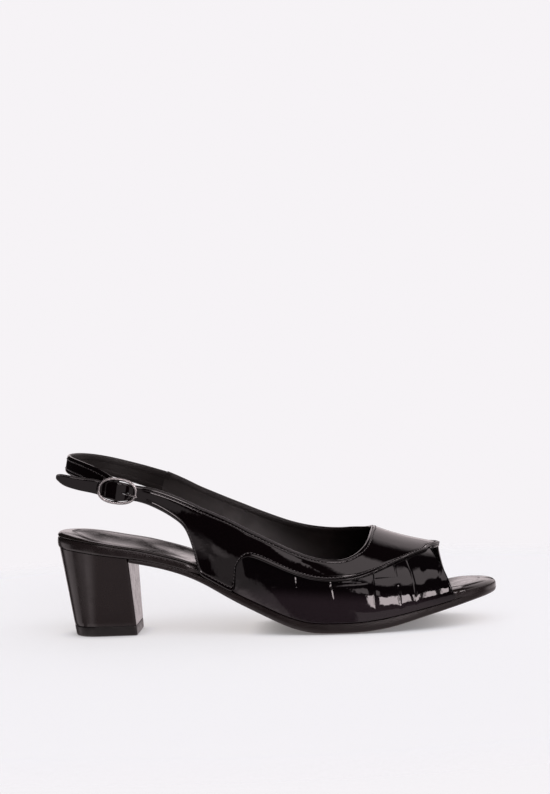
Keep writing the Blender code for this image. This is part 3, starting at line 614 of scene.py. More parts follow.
FINE_PEEL_SHARE = 0.05      # of the depth of the orange peel
TONE_LEVELS = (0.4, 0.68)   # of the cloudy pattern, between plain and worn leather
PORE_CLOUD = Cloud(2.5, 4.0, 0.6)   # grain between the pores, its size as a multiple of theirs
PORE_CLOUD_SHARE = 0.8      # of the depth of the pores
SMOOTHER, ROUGHER = 0.05, 0.07      # how far rubbed leather departs from its roughness
COAT_ROUGHNESS = 0.18
TWIST_DEPTH = 0.03
METAL_DEPTH = 0.002
RUBBER_DEPTH = 0.02
PAINTED_REFLECTION_RISE = (0.085, 0.0, 1.0)       # direction in which the painted reflection of the floor on the lower wall thins out
PAINTED_REFLECTION_LEVELS = (19.0, 27.0)          # mm along it


def socket_name(key):
    """Blender's name of a socket that is written as a plain keyword."""
    return key.replace("_", " ").title().replace("Ior", "IOR")


class Tree:
    """Node tree with a few helpers."""

    def __init__(self, tree):
        self.tree = tree

    def fill(self, socket, value):
        """Link a socket to another one, or give it a constant."""
        if isinstance(value, bpy.types.NodeSocket):
            self.tree.links.new(value, socket)
        else:
            socket.default_value = value

    def node(self, kind, **inputs):
        node = self.tree.nodes.new(kind)
        for key, value in inputs.items():
            self.fill(node.inputs[socket_name(key)], value)
        return node

    def math(self, operation, *values):
        node = self.tree.nodes.new("ShaderNodeMath")
        node.operation = operation
        for socket, value in zip(node.inputs, values):
            self.fill(socket, value)
        return node.outputs[0]

    def ramp(self, value, low, high, start, end):
        """Map a value from low..high to start..end, smoothly and held at the ends."""
        node = self.node("ShaderNodeMapRange", value=value, from_min=low, from_max=high,
                         to_min=start, to_max=end)
        node.interpolation_type = "SMOOTHSTEP"
        return node.outputs["Result"]


class Shader(Tree):
    """Principled material with a few procedural helpers."""

    def __init__(self, name, colour, **inputs):
        self.material = bpy.data.materials.new(name)
        self.material.use_nodes = True
        super().__init__(self.material.node_tree)
        self.main = self.tree.nodes["Principled BSDF"]
        self.set("Base Color", (*colour, 1.0))
        for key, value in inputs.items():
            self.set(socket_name(key), value)
        self.place = self.node("ShaderNodeTexCoord").outputs["Object"]

    def set(self, socket, value):
        self.fill(self.main.inputs[socket], value)

    def noise(self, cloud):
        """Cloudy pattern between 0 and 1."""
        node = self.node("ShaderNodeTexNoise", vector=self.place, scale=1 / (cloud.size * MM),
                         detail=cloud.detail, roughness=cloud.roughness)
        return node.outputs["Fac"]

    def cells(self, size):
        """Distance to the nearest of many points about a size in mm apart."""
        node = self.node("ShaderNodeTexVoronoi", vector=self.place, scale=1 / (size * MM))
        return node.outputs["Distance"]

    def mix(self, share, first, second):
        node = self.tree.nodes.new("ShaderNodeMix")
        node.data_type = "RGBA"
        self.fill(node.inputs["Factor"], share)
        colours = [socket for socket in node.inputs if socket.type == "RGBA"]
        for socket, colour in zip(colours, (first, second)):
            socket.default_value = (*colour, 1.0)
        return [socket for socket in node.outputs if socket.type == "RGBA"][0]

    def spots(self, cloud, levels, roughness):
        """Roughness that changes with the levels of a cloudy pattern."""
        self.set("Roughness", self.ramp(self.noise(cloud), *levels, *roughness))

    def bump(self, *layers):
        """Bump from (height, depth in mm) layers, on the shader and on its coat."""
        normal = None
        for height, depth in layers:
            node = self.node("ShaderNodeBump", height=height, distance=depth * MM, strength=1.0)
            if normal is not None:
                self.fill(node.inputs["Normal"], normal)
            normal = node.outputs["Normal"]
        self.set("Normal", normal)
        self.set("Coat Normal", normal)


def patent(name, colour, peel, painted_reflection=None):
    """Lacquered leather: black, glossy, with a slight orange peel, and if wished a greyer base near the
    sole, a painted reflection of the floor.
    """
    shader = Shader(name, colour)
    if painted_reflection:
        # Base colour greyer low on the wall: a painted reflection of the floor
        rise = shader.node("ShaderNodeVectorMath", vector=shader.place)
        rise.operation = "DOT_PRODUCT"
        rise.inputs[1].default_value = PAINTED_REFLECTION_RISE
        low = shader.ramp(rise.outputs["Value"], PAINTED_REFLECTION_LEVELS[0] * MM, PAINTED_REFLECTION_LEVELS[1] * MM, 1.0, 0.0)
        shader.set("Base Color", shader.mix(low, colour, painted_reflection))
    shader.spots(GLOSS_SPOTS, levels=(0.35, 0.65), roughness=(0.025, 0.06))
    shader.bump((shader.noise(PEEL), peel), (shader.noise(FINE_PEEL), peel * FINE_PEEL_SHARE))
    return shader.material


def leather(name, colour, worn, roughness, grain, pores, gloss=0.0):
    """Leather with pores, their depth (grain) and distance in mm, changes of tone and rubbed spots."""
    shader = Shader(name, colour, coat_weight=gloss, coat_roughness=COAT_ROUGHNESS)
    tone = shader.ramp(shader.noise(TONE_SPOTS), *TONE_LEVELS, 0.0, 1.0)
    shader.set("Base Color", shader.mix(tone, colour, worn))
    shader.spots(RUBBED_SPOTS, levels=(0.35, 0.7), roughness=(roughness - SMOOTHER, roughness + ROUGHER))
    between = shader.noise(PORE_CLOUD._replace(size=pores * PORE_CLOUD.size))
    shader.bump((shader.cells(pores), grain), (between, grain * PORE_CLOUD_SHARE))
    return shader.material


def thread(name, colour):
    shader = Shader(name, colour, roughness=0.26, sheen_weight=0.15)
    shader.bump((shader.noise(THREAD_TWIST), TWIST_DEPTH))
    return shader.material


def metal(name, colour):
    shader = Shader(name, colour, metallic=1.0)
    shader.spots(METAL_SPOTS, levels=(0.3, 0.7), roughness=(0.34, 0.46))
    shader.bump((shader.noise(METAL_GRAIN), METAL_DEPTH))
    return shader.material


def rubber(name, colour):
    shader = Shader(name, colour)
    shader.spots(RUBBER_SPOTS, levels=(0.3, 0.7), roughness=(0.32, 0.5))
    shader.bump((shader.noise(RUBBER_GRAIN), RUBBER_DEPTH))
    return shader.material


PATENT = patent("smooth_patent", colour=(0.0022, 0.0010, 0.0014), peel=0.075)
# The embossed patent's greyer lower part is a painted reflection of the floor, not the leather's own tone
EMBOSSED = patent("embossed_patent", colour=(0.0020, 0.0011, 0.0016), peel=0.11,
                  painted_reflection=(0.0160, 0.0112, 0.0138))
LINING = leather("lining", colour=(0.0040, 0.0024, 0.0022), worn=(0.0070, 0.0045, 0.0041),
                 roughness=0.50, grain=0.02, pores=0.5)
SOCK = leather("sock", colour=(0.011, 0.0080, 0.0074), worn=(0.015, 0.0112, 0.0104),
               roughness=0.14, grain=0.0006, pores=0.45, gloss=0.1)
RIM = leather("rim", colour=(0.0135, 0.0098, 0.0098), worn=(0.0150, 0.0112, 0.0112),
              roughness=0.24, grain=0.001, pores=0.5, gloss=0.05)
SOLE_EDGE = leather("sole_edge", colour=(0.0060, 0.0030, 0.0030), worn=(0.0080, 0.0045, 0.0045),
                    roughness=0.42, grain=0.002, pores=0.6)
HEEL_COVER = leather("heel_cover", colour=(0.0065, 0.0028, 0.0028), worn=(0.0074, 0.0034, 0.0034),
                     roughness=0.22, grain=0.0008, pores=0.5, gloss=0.1)
TOP_RUBBER = rubber("top_rubber", colour=(0.008, 0.0065, 0.0065))
# Thread colour is partly its own near-black and partly a painted highlight: it is lifted to grey so the
# stitches read as glinting
THREAD = thread("thread", colour=(0.050, 0.043, 0.045))
SILVER = metal("silver", colour=(0.42, 0.41, 0.41))


# Sole

def fine_edge(edge):
    """An edge table as smooth rows of insets and of levels on the near and the far side."""
    knots = np.arange(len(edge))
    steps = np.linspace(0, knots[-1], EDGE_ROWS)
    shape = columns(edge, knots)
    return np.stack((shape.inset(steps), shape.near(steps), shape.far(steps)), axis=1)


def plate(name, x, inset, bottom, top, edge, toe_edge, material, crown=None):
    """Plate of the sole's outline with a shaped edge. The crown lifts the top between its sides."""
    rings = []
    toe = smooth_step(x, *TOE_EDGE)
    for here, there in zip(fine_edge(edge), fine_edge(toe_edge)):
        row_inset, near, far = here[:, None] + (there - here)[:, None] * toe
        near = far + (near - far) * smooth_step(x, x[0], x[0] + HEEL_EDGE)
        loop = plan_loop(x, inset + row_inset)
        low, high = bottom(loop[:, 0]), top(loop[:, 0])
        level = np.concatenate((near, far[::-1])) / 100
        rings.append(np.column_stack((loop, low + (high - low) * level)))
    count = len(x)
    points = [np.concatenate(rings)]
    index = np.arange(EDGE_ROWS * 2 * count).reshape(EDGE_ROWS, 2 * count)
    faces = grid_faces(index, wrap=True)
    share = np.linspace(0, 1, ACROSS + 1)[1:-1]
    for row in (0, EDGE_ROWS - 1):
        outer, inner = rings[row][:count], rings[row][count:][::-1]
        middle = outer[:, None] + (inner - outer)[:, None] * share[None, :, None]
        if crown and row:
            middle[..., 2] += crown(middle[..., 0], share[None, :])
        start = sum(len(block) for block in points)
        inside = start + np.arange(middle.shape[0] * middle.shape[1]).reshape(middle.shape[:2])
        points.append(middle.reshape(-1, 3))
        outer_index, inner_index = index[row, :count, None], index[row, count:][::-1, None]
        faces += grid_faces(np.concatenate((outer_index, inside, inner_index), axis=1))
    return mesh_piece(name, np.concatenate(points), faces, [material])


def heel_front(z):
    """x of the heel's flat front at a height."""
    return HEEL_BREAST[1] + (HEEL_BREAST[0] - HEEL_BREAST[1]) * z / SEAT_HEIGHT


def sock_crown(x, share):
    """The padded sock is cupped from side to side from the heel to the waist, and a little at the toe."""
    across = 1 - (2 * share - 1) ** 2
    heel = 1 - smooth_step(x, *CUP_HEEL_END)
    toe = smooth_step(x, *CUP_TOE_START)
    return -across * (CUP[0] * heel + CUP[1] * toe)


def sock_under(x):
    """The sock lies tight on the rim at the open toe."""
    return sock_bottom(x) - (GAP - TIGHT) * smooth_step(x, *TOE_EDGE)


def rim_bottom(x):
    """The wrapped rim sits tight on the outsole in front of the heel."""
    return over_joint(x) - (GAP - TIGHT) * smooth_step(x, *RIM_TIGHT)


def make_sole():
    along = (1 - np.cos(np.pi * np.arange(STATIONS + 1) / STATIONS)) / 2
    x = LENGTH * along
    start = heel_front(tread(HEEL_BREAST[0])) + 2 * GAP
    x_tread = np.concatenate(([start], x[x > start + GAP]))
    outsole = plate("outsole_leather", x_tread, 0.0, tread, under_joint, OUTSOLE_EDGE, OUTSOLE_TOE,
                    SOLE_EDGE)
    dress(outsole, "sole_edge", "outsole")
    rim = plate("insole_rim", x, board_inset(x), rim_bottom, board_top, BOARD_EDGE, BOARD_TOE, RIM)
    dress(rim, "wrapped_rim", "insole_board")
    sock = plate("sock_pad", x, board_inset(x) + SOCK_MARGIN, sock_under, sock_top, SOCK_EDGE, SOCK_TOE,
                 SOCK, sock_crown)
    dress(sock, "sock", "sock_lining")


# Heel

def heel_ring(level, inset=0.0):
    """Ring round the heel at a height, or at heights that follow the seat."""
    share = np.linspace(0, 1, HEEL_STATIONS + 1)
    along = 1 - np.cos(np.pi / 2 * share)
    x_seat = HEEL_BACK[0] + (HEEL_BREAST[0] - HEEL_BACK[0]) * along
    z = level(x_seat)
    down = 1 - z / SEAT_HEIGHT
    back = HEEL_BACK[0] + (HEEL_BACK[1] - HEEL_BACK[0]) * down + inset
    breast = heel_front(z) - inset
    half = HEEL_HALF[1] + (HEEL_HALF[0] - HEEL_HALF[1]) * (1 - down) ** HEEL_WAIST - inset
    bend = HEEL_BEND[0] + (HEEL_BEND[1] - HEEL_BEND[0]) * down
    x = back + (breast - BREAST_ROUND - back) * along
    y = half * np.sqrt(1 - np.clip(1 - (x - back) / bend, 0, 1) ** 2)
    turn = np.linspace(0, math.pi / 2, CORNER_TURN)[1:]
    corner_x = breast[-1] - BREAST_ROUND + BREAST_ROUND * np.sin(turn)
    corner_y = y[-1] - BREAST_ROUND + BREAST_ROUND * np.cos(turn)
    flat_y = corner_y[-1] * np.array(BREAST_AT)
    x = np.concatenate((x, corner_x, np.full(len(flat_y), breast[-1])))
    y = np.concatenate((y, corner_y, flat_y))
    z = np.concatenate((z, np.full(len(x) - len(z), z[-1])))
    outer = np.column_stack((x, -y, z))
    inner = np.column_stack((x, y, z))
    return np.concatenate((outer, inner[::-1]))


def stack(name, rings, material):
    """Closed piece through rings from the bottom up, its ends closed by rungs between the sides."""
    rings = np.array(rings)
    levels, count = rings.shape[:2]
    index = np.arange(levels * count).reshape(levels, count)
    faces = grid_faces(index, wrap=True)
    for ring in (index[0], index[-1]):
        pairs = np.stack((ring[:count // 2], ring[count // 2:][::-1]), axis=1)
        faces += grid_faces(pairs)
    return mesh_piece(name, rings.reshape(-1, 3), faces, [material])


def make_heel():
    bottom = TOP_PIECE + GAP

    def between(share):
        return lambda x: bottom + (under_joint(x) - bottom) * share

    def flat(height):
        return lambda x: np.full(x.shape, height)

    shares = np.concatenate(([0.0], np.linspace(HEEL_LIP, 1 - HEEL_LIP, HEEL_LEVELS), [1.0]))
    insets = np.concatenate((HEEL_TURN_IN[:1], np.zeros(HEEL_LEVELS), HEEL_TURN_IN[1:]))
    block = stack("heel_cover", [heel_ring(between(s), i) for s, i in zip(shares, insets)], HEEL_COVER)
    dress(block, "heel_cover", "heel_block")
    rows = (*TOP_PIECE_EDGE, (bottom - TIGHT, TOP_PIECE_LIP))
    top_piece = stack("top_piece", [heel_ring(flat(z), inset) for z, inset in rows], TOP_RUBBER)
    dress(top_piece, "top_piece", "heel_top_piece")


# Last

def last_point(x, turn):
    """Point on the last: turn runs from 0 at the outer edge of the sole over the ridge to pi."""
    outer = turn < math.pi / 2
    side = np.where(outer, -1, 1)
    slope = (outline(x + PROBE, side) - outline(x - PROBE, side)) / (2 * PROBE)
    foot_y = outline(x, side) - side * LAST_INSET * np.sqrt(1 + slope ** 2)
    foot_z = over_joint(x)
    ridge_y = last.ridge_y(x)
    swell = np.where(outer, last.swell_out(x), last.swell_in(x)) * np.sin(2 * turn) ** 2
    drawn = np.clip((turn - TUCK_TURN[0]) / (TUCK_TURN[1] - TUCK_TURN[0]), 0, None) ** 2
    tuck = np.where(outer, last.tuck(x), 0.0) * drawn
    y = ridge_y + (foot_y - ridge_y) * np.abs(np.cos(turn)) + side * (swell - tuck)
    z = foot_z + (INSTEP * last.ridge(x) / 100 - foot_z) * np.sin(turn)
    return np.stack(np.broadcast_arrays(x, y, z), axis=-1)


def last_normal(x, turn):
    along = last_point(x + PROBE, turn) - last_point(x - PROBE, turn)
    around = last_point(x, turn + PROBE_TURN) - last_point(x, turn - PROBE_TURN)
    return unit(np.cross(along, around))


Axes = namedtuple("Axes", "along across out")


def buckle_axes():
    """Directions along the strap to the back, across it upwards, and out of the shoe."""
    pitch, splay = BUCKLE_PITCH, BUCKLE_SPLAY
    along = np.array((-math.cos(pitch) * math.cos(splay), -math.sin(splay),
                      math.sin(pitch) * math.cos(splay)))
    across = np.array((math.sin(pitch), 0.0, math.cos(pitch)))
    return Axes(along, across, np.cross(across, along))


def at_buckle(along, across, out):
    """Shoe coordinates of a place given in the buckle's own directions."""
    axes = buckle_axes()
    offsets = (np.asarray(offset, float)[..., None] for offset in (along, across, out))
    return np.array(BUCKLE_CENTRE) + sum(offset * axis for offset, axis in zip(offsets, axes))


class Sheet:
    """Inner face of a wall as columns of points, each read off by its distance from the topline."""

    def __init__(self, points, normals, seam_row):
        self.points, self.normals = points, normals
        steps = np.linalg.norm(np.diff(points, axis=1), axis=-1)
        run = np.concatenate((np.zeros((len(points), 1)), np.cumsum(steps, axis=1)), axis=1)
        self.run = run + WELD * np.arange(points.shape[1])
        self.seam = self.run[:, seam_row]
        self.edge = self.run[:, -1]

    def at(self, distance, height):
        """Points at distances down each column, at heights over the inner face."""
        distance, height = np.broadcast_arrays(distance, height)
        place = np.empty(distance.shape + (3,))
        normal = np.empty(distance.shape + (3,))
        for i in range(len(distance)):
            for axis in range(3):
                place[i, :, axis] = np.interp(distance[i], self.run[i], self.points[i, :, axis])
                normal[i, :, axis] = np.interp(distance[i], self.run[i], self.normals[i, :, axis])
        return place + unit(normal) * height[..., None]


def rib_columns(rib, count):
    """Rib numbers of the columns to the ridge, evenly spaced along the panel's edges."""
    rear = np.linspace(0, FRONT_RIB, FRONT_RIB * REAR_STEPS + 1)
    fine = np.linspace(FRONT_RIB, len(RIBS) - 1, FINE)
    run = np.zeros(FINE)
    for at, up in ((rib.edge_out, rib.edge_up_out), (rib.seam, rib.seam_up)):
        path = last_point(LENGTH * at(fine) / 100, np.radians(up(fine)))
        run[1:] += np.cumsum(np.linalg.norm(np.diff(path, axis=0), axis=1))
    front = np.interp(np.linspace(0, run[-1], count + 1), run, fine)
    return np.concatenate((rear, front[1:]))


def rib_sheet():
    """Points, normals and rib numbers of the wall on the last, outer seam to inner seam."""
    rib = columns(RIBS, range(len(RIBS)), RIB_BLUR)
    there = rib_columns(rib, OUTER_COLUMNS)
    back = rib_columns(rib, INNER_COLUMNS)[-2::-1]

    def line(out_at, out_up, in_at, in_up):
        place = np.concatenate((out_at(there), in_at(back)))
        turn = np.concatenate((out_up(there), 180 - in_up(back)))
        return np.stack((LENGTH * place / 100, np.radians(np.clip(turn, 0, 180))))

    def inner_seam_up(step):
        return np.maximum(rib.seam_up(step), rib.edge_up_in(step))

    top = line(rib.top, rib.top_up_out, rib.top, rib.top_up_in)
    seam = line(rib.seam, rib.seam_up, rib.seam, inner_seam_up)
    edge = line(rib.edge_out, rib.edge_up_out, rib.edge_in, rib.edge_up_in)
    share = np.linspace(0, 1, LAST_ROWS + 1)
    rows = [top + (seam - top) * s for s in share]
    rows += [seam + (edge - seam) * s for s in share[1:]]
    x, turn = np.stack(rows, axis=-1)
    return last_point(x, turn), last_normal(x, turn), np.concatenate((there, back))


def strap_sheet():
    """Points and normals of the outer strap, from its tip through the buckle to the quarter."""
    table = STRAP_END[::-1]
    knots = np.arange(len(table))
    shape = columns(table, knots)
    steps = np.linspace(0, knots[-1], knots[-1] * STRAP_STEPS + 1)
    along, rise, lift = shape.along(steps), shape.rise(steps), shape.lift(steps)
    over, under = shape.over(steps), shape.under(steps)
    share = np.concatenate((np.linspace(0, 1, LAST_ROWS + 1), np.ones(LAST_ROWS)))
    rise_rows = rise[:, None] + over[:, None] - (over + under)[:, None] * share
    along_rows = np.broadcast_to(along[:, None], rise_rows.shape)
    points = at_buckle(along_rows, rise_rows, np.broadcast_to(lift[:, None], rise_rows.shape))
    forward = np.gradient(at_buckle(along, rise, lift), axis=0)
    normal = unit(np.cross(forward, buckle_axes().across))
    return points, np.broadcast_to(normal[:, None], points.shape)


JOIN_STEPS = 8              # columns between the strap and the quarter
JOIN_BLUR = 5.0             # in columns
JOIN_REACH = (13.0, 26.0)   # columns from the join over which the blur dies away


def wall_sheet():
    """The whole wall of strap, quarters and vamp, its lapped and sewn weights, and its ribs."""
    strap_points, strap_normals = strap_sheet()
    points, normals, ribs = rib_sheet()
    share = np.linspace(0, 1, JOIN_STEPS + 2)[1:-1, None, None]
    bridge_points = strap_points[-1] + (points[0] - strap_points[-1]) * share
    bridge_normals = strap_normals[-1] + (normals[0] - strap_normals[-1]) * share
    points = np.concatenate((strap_points, bridge_points, points))
    normals = np.concatenate((strap_normals, bridge_normals, normals))
    middle = len(strap_points) + JOIN_STEPS / 2
    away = np.abs(np.arange(len(points)) - middle)
    weight = (1 - smooth_step(away, *JOIN_REACH))[:, None, None]
    points = points + (blur(points, JOIN_BLUR) - points) * weight
    normals = unit(normals + (blur(normals, JOIN_BLUR) - normals) * weight)
    points = points + normals * crease_height(points)[..., None]
    strap = len(points) - len(ribs)
    lapped = np.concatenate((np.zeros(strap), smooth_step(ribs, *LAPPED)))
    sewn = smooth_step(np.arange(len(points)), strap - JOIN_STEPS, strap)
    return Sheet(points, normals, LAST_ROWS), lapped, sewn, np.concatenate((np.zeros(strap), ribs))


# Bands of leather with finished edges

def band_loops(sheet, lapped, sewn, thickness=COLLAR):
    """Closed loops of a band between the topline and the seam: top edge, outside, lower edge, inside."""
    count = len(sheet.points)
    plain = np.array(FREE_EDGE)
    plain[-CHANNEL_ROWS:, 1] = COLLAR
    upper = plain + (np.array(FREE_EDGE) - plain) * sewn[:, None, None]
    lower = upper + (np.array(LAPPED_EDGE) - upper) * lapped[:, None, None]
    width = sheet.seam
    squeeze = np.minimum(1, width / BAND_LEAST)[:, None]
    scale = thickness / COLLAR
    top_at, top_height = upper[..., 0] * squeeze, upper[..., 1] * scale
    low_at = (width[:, None] - lower[..., 0] * squeeze)[:, ::-1]
    low_height = (lower[..., 1] * scale)[:, ::-1]
    share = np.linspace(0, 1, BAND_ROWS + 2)[1:-1]
    out_at = top_at[:, -1:] + (low_at[:, :1] - top_at[:, -1:]) * share
    out_height = np.full((count, BAND_ROWS), thickness)
    share = np.linspace(0, 1, BACK_ROWS + 2)[1:-1]
    back_at = low_at[:, -1:] + (top_at[:, :1] - low_at[:, -1:]) * share
    back_height = low_height[:, -1:] + (top_height[:, :1] - low_height[:, -1:]) * share
    at = np.concatenate((top_at, out_at, low_at, back_at), axis=1)
    height = np.concatenate((top_height, out_height, low_height, back_height), axis=1)
    return at, height


def polyline_distance(points, path):
    """Distance of each point from a path of straight stretches, and how far along it lies."""
    nearest = np.full(points.shape[:-1], np.inf)
    along = np.zeros(points.shape[:-1])
    for step, (start, end) in enumerate(zip(path[:-1], path[1:])):
        run = end - start
        t = np.clip((points - start) @ run / (run @ run), 0, 1)
        away = np.linalg.norm(points - start - t[..., None] * run, axis=-1)
        along = np.where(away < nearest, step + t, along)
        nearest = np.minimum(nearest, away)
    return nearest, along / (len(path) - 1)


def wall_path(places, inner_side, height):
    """A smooth path through places on the wall, at a height over its inner face."""
    places = np.array(places, float)
    knots = np.arange(len(places))
    steps = np.linspace(0, knots[-1], PATH_STEPS * knots[-1] + 1)
    at = curve(knots, places[:, 0])(steps)
    turn = np.radians(curve(knots, places[:, 1])(steps))
    if inner_side:
        at, turn = at + INNER_SHIFT, math.pi - turn
    x = LENGTH * at / 100
    return last_point(x, turn) + last_normal(x, turn) * height


def crease_height(points):
    """How far the soft creases lift each point of the wall's inner face."""
    height = np.zeros(points.shape[:-1])
    for inner_side in (False, True):
        for row in CREASES:
            away, along = polyline_distance(points, wall_path(row.places, inner_side, 0.0))
            fade = smooth_step(along, 0, CREASE_FADE) * (1 - smooth_step(along, 1 - CREASE_FADE, 1))
            height += row.height * fade * np.exp(-(away / row.width) ** 2)
    return height


def groove_depth(points):
    """How far the embossed grooves and the pillows between them draw in each point."""
    depth = np.zeros(points.shape[:-1])
    for inner_side in (False, True):
        for row in GROOVES:
            away, along = polyline_distance(points, wall_path(row.places, inner_side, WALL))
            here = row.depth * np.exp(-(away / row.width) ** 2)
            here += row.pillow * np.exp(-(away / PILLOW_WIDTH) ** 2)
            depth = np.maximum(depth, here * (1 - smooth_step(along, GROOVE_FADE, 1.0)))
    return depth


def upper_loops(sheet, lapped):
    """Loops of the lined wall: inside from the top down, lower edge, outside up under the collar."""
    lap = lapped[:, None]
    width = sheet.edge[:, None]
    squeeze = np.minimum(1, sheet.seam / BAND_LEAST)[:, None]
    inside_from = LINING_IN * squeeze
    inside_to = width - (EDGE_IN * lap + LINING_IN * squeeze * (1 - lap))
    share = np.linspace(0, 1, LINING_ROWS)
    inside_at = inside_from + (inside_to - inside_from) * share
    inside_height = np.full_like(inside_at, LINING_LIFT)
    turn = np.linspace(0, math.pi, WALL_TURN + 2)[1:-1]
    edge_at = inside_to + EDGE_IN * np.sin(turn) * lap
    edge_height = LINING_LIFT + HIDDEN_TURN * (1 - lap) * np.linspace(0, 1, WALL_TURN)
    edge_height = edge_height + WALL / 2 * (1 - np.cos(turn)) * lap
    hidden_to = (sheet.seam[:, None] - PANEL_LAP) * lap + inside_from * (1 - lap)
    share = np.linspace(0, 1, PANEL_ROWS)
    outside_at = inside_to + (hidden_to - inside_to) * share
    outside_height = np.broadcast_to(HIDDEN_HEIGHT + (WALL - HIDDEN_HEIGHT) * lap, outside_at.shape)
    share = np.linspace(0, 1, BACK_ROWS + 2)[1:-1]
    back_at = hidden_to + (inside_from - hidden_to) * share
    back_height = np.full_like(back_at, HIDDEN_HEIGHT)
    at = np.concatenate((inside_at, edge_at, outside_at, back_at), axis=1)
    height = np.concatenate((inside_height, edge_height, outside_height, back_height), axis=1)
    return at, height


def prong_slot():
    """Closed shape of the slot that the prong goes through."""
    turn = circle(SLOT_SIDES)
    along = SLOT_ALONG + SLOT_HALF[0] * np.cos(turn)
    across = PRONG_SLANT * along / PRONG_TIP + SLOT_HALF[1] * np.sin(turn)
    rings = [at_buckle(along, across, np.full(turn.shape, lift)) for lift in (-SLOT_DEPTH, SLOT_DEPTH)]
    return tube(np.array(rings))


def make_upper(sheet, lapped, ribs):
    at, height = upper_loops(sheet, lapped)
    loops = sheet.at(at, height)
    outside = slice(LINING_ROWS + WALL_TURN, LINING_ROWS + WALL_TURN + PANEL_ROWS)
    on_panel = smooth_step(at[:, outside] - sheet.seam[:, None], *PANEL_START)
    from_edge = sheet.edge[:, None] - at[:, outside]
    embossed = on_panel * smooth_step(from_edge, *GROOVE_EDGE) * lapped[:, None]
    depth = groove_depth(loops[:, outside]) * embossed
    peep = smooth_step(ribs, *PEEP_RIBS)[:, None]
    rise, inward, half = PEEP_BEAD
    depth -= rise * np.exp(-((from_edge - inward) / half) ** 2) * peep
    front = smooth_step(sheet.points[:, -1, 0] / LENGTH * 100, *FEATHER_CHANGE)[:, None]
    turn_in = FEATHER[0] + (FEATHER[1] - FEATHER[0]) * front
    turn_from = FEATHER_HEIGHT[0] + (FEATHER_HEIGHT[1] - FEATHER_HEIGHT[0]) * front
    depth += turn_in * np.clip(1 - from_edge / turn_from, 0, 1) ** 2 * lapped[:, None] * (1 - peep)
    height = height.copy()
    height[:, outside] -= depth
    edge = slice(LINING_ROWS, LINING_ROWS + WALL_TURN)
    height[:, edge] -= depth[:, :1] * np.linspace(0, 1, WALL_TURN)
    loops = sheet.at(at, height)
    lining = np.arange(loops.shape[1]) < LINING_ROWS
    finish = np.concatenate((np.tile(lining, len(loops) - 1), (False, False)))
    piece = mesh_piece("embossed_upper", *tube(loops), [EMBOSSED, LINING], finish)
    cut(piece, *prong_slot())
    dress(piece, "embossed_patent", "upper")


def band_finish(loops):
    """Material of each face of a band: patent outside, lining inside."""
    rows = loops.shape[1]
    row = np.arange(rows)
    lining = (row < INSIDE_ROWS) | (row >= rows - BACK_ROWS - INSIDE_ROWS)
    return np.concatenate((np.tile(lining, len(loops) - 1), (False, False)))


def make_collar(sheet, lapped, sewn):
    at, height = band_loops(sheet, lapped, sewn)
    loops = sheet.at(at, height)
    piece = mesh_piece("patent_collar", *tube(loops), [PATENT, LINING], band_finish(loops))
    cut(piece, *prong_slot())
    dress(piece, "smooth_patent", "vamp_overlay")


# Stitches

def stitch_row(path, normals):
    """Loops of each stitch of a row along a path."""
    run = np.concatenate(([0.0], np.cumsum(np.linalg.norm(np.diff(path, axis=0), axis=1))))
    middles = np.arange(STITCH.pitch, run[-1] - STITCH.pitch, STITCH.pitch)

    def read(values, at):
        return np.stack([np.interp(at, run, column) for column in values.T], axis=-1)

    share = np.linspace(-1, 1, STITCH_RINGS)
    at = middles[:, None] + STITCH.length / 2 * share
    centre = read(path, at)
    normal = unit(read(normals, at))
    forward = unit(read(path, middles + STITCH_PROBE) - read(path, middles - STITCH_PROBE))[:, None]
    across = unit(np.cross(normal, forward))
    swell = np.sqrt(np.clip(1 - share ** STITCH_FULLNESS, STITCH_TIP, 1))
    arch = STITCH.thickness * STITCH_ARCH * (1 - share ** 2) - STITCH.sink
    centre = centre + normal * arch[None, :, None]
    turn = circle(STITCH_SIDES)
    radius = (STITCH.thickness / 2 * swell)[None, :, None, None]
    around = np.cos(turn)[:, None] * across[:, :, None] + np.sin(turn)[:, None] * normal[:, :, None]
    return centre[:, :, None] + radius * around


def stitches(name, slot, rows):
    """One joined piece of all the stitch rows."""
    points, faces = joined(*(tube(stitch) for loops in rows for stitch in loops))
    dress(mesh_piece(name, points, faces, [THREAD]), slot)


def edge_stitches(sheet, top_sewn, low_sewn, thickness=COLLAR):
    """Stitch rows along the topline and along the lower edge of a band, where it is sewn."""
    scale = thickness / COLLAR
    squeeze = np.minimum(1, sheet.seam / BAND_LEAST)
    height = np.full((len(sheet.points), 1), STITCH_HEIGHT * scale)
    wide = sheet.seam > STITCH_ROOM * STITCH_IN
    rows = []
    for distance, sewn in ((STITCH_IN * squeeze, top_sewn), (sheet.seam - STITCH_IN * squeeze, low_sewn)):
        path = sheet.at(distance[:, None], height)[:, 0]
        under = sheet.at(distance[:, None], height - PROBE)[:, 0]
        here = wide & (sewn > 0.5)
        rows.append(stitch_row(path[here], (path - under)[here]))
    return rows


# Slingback and buckle

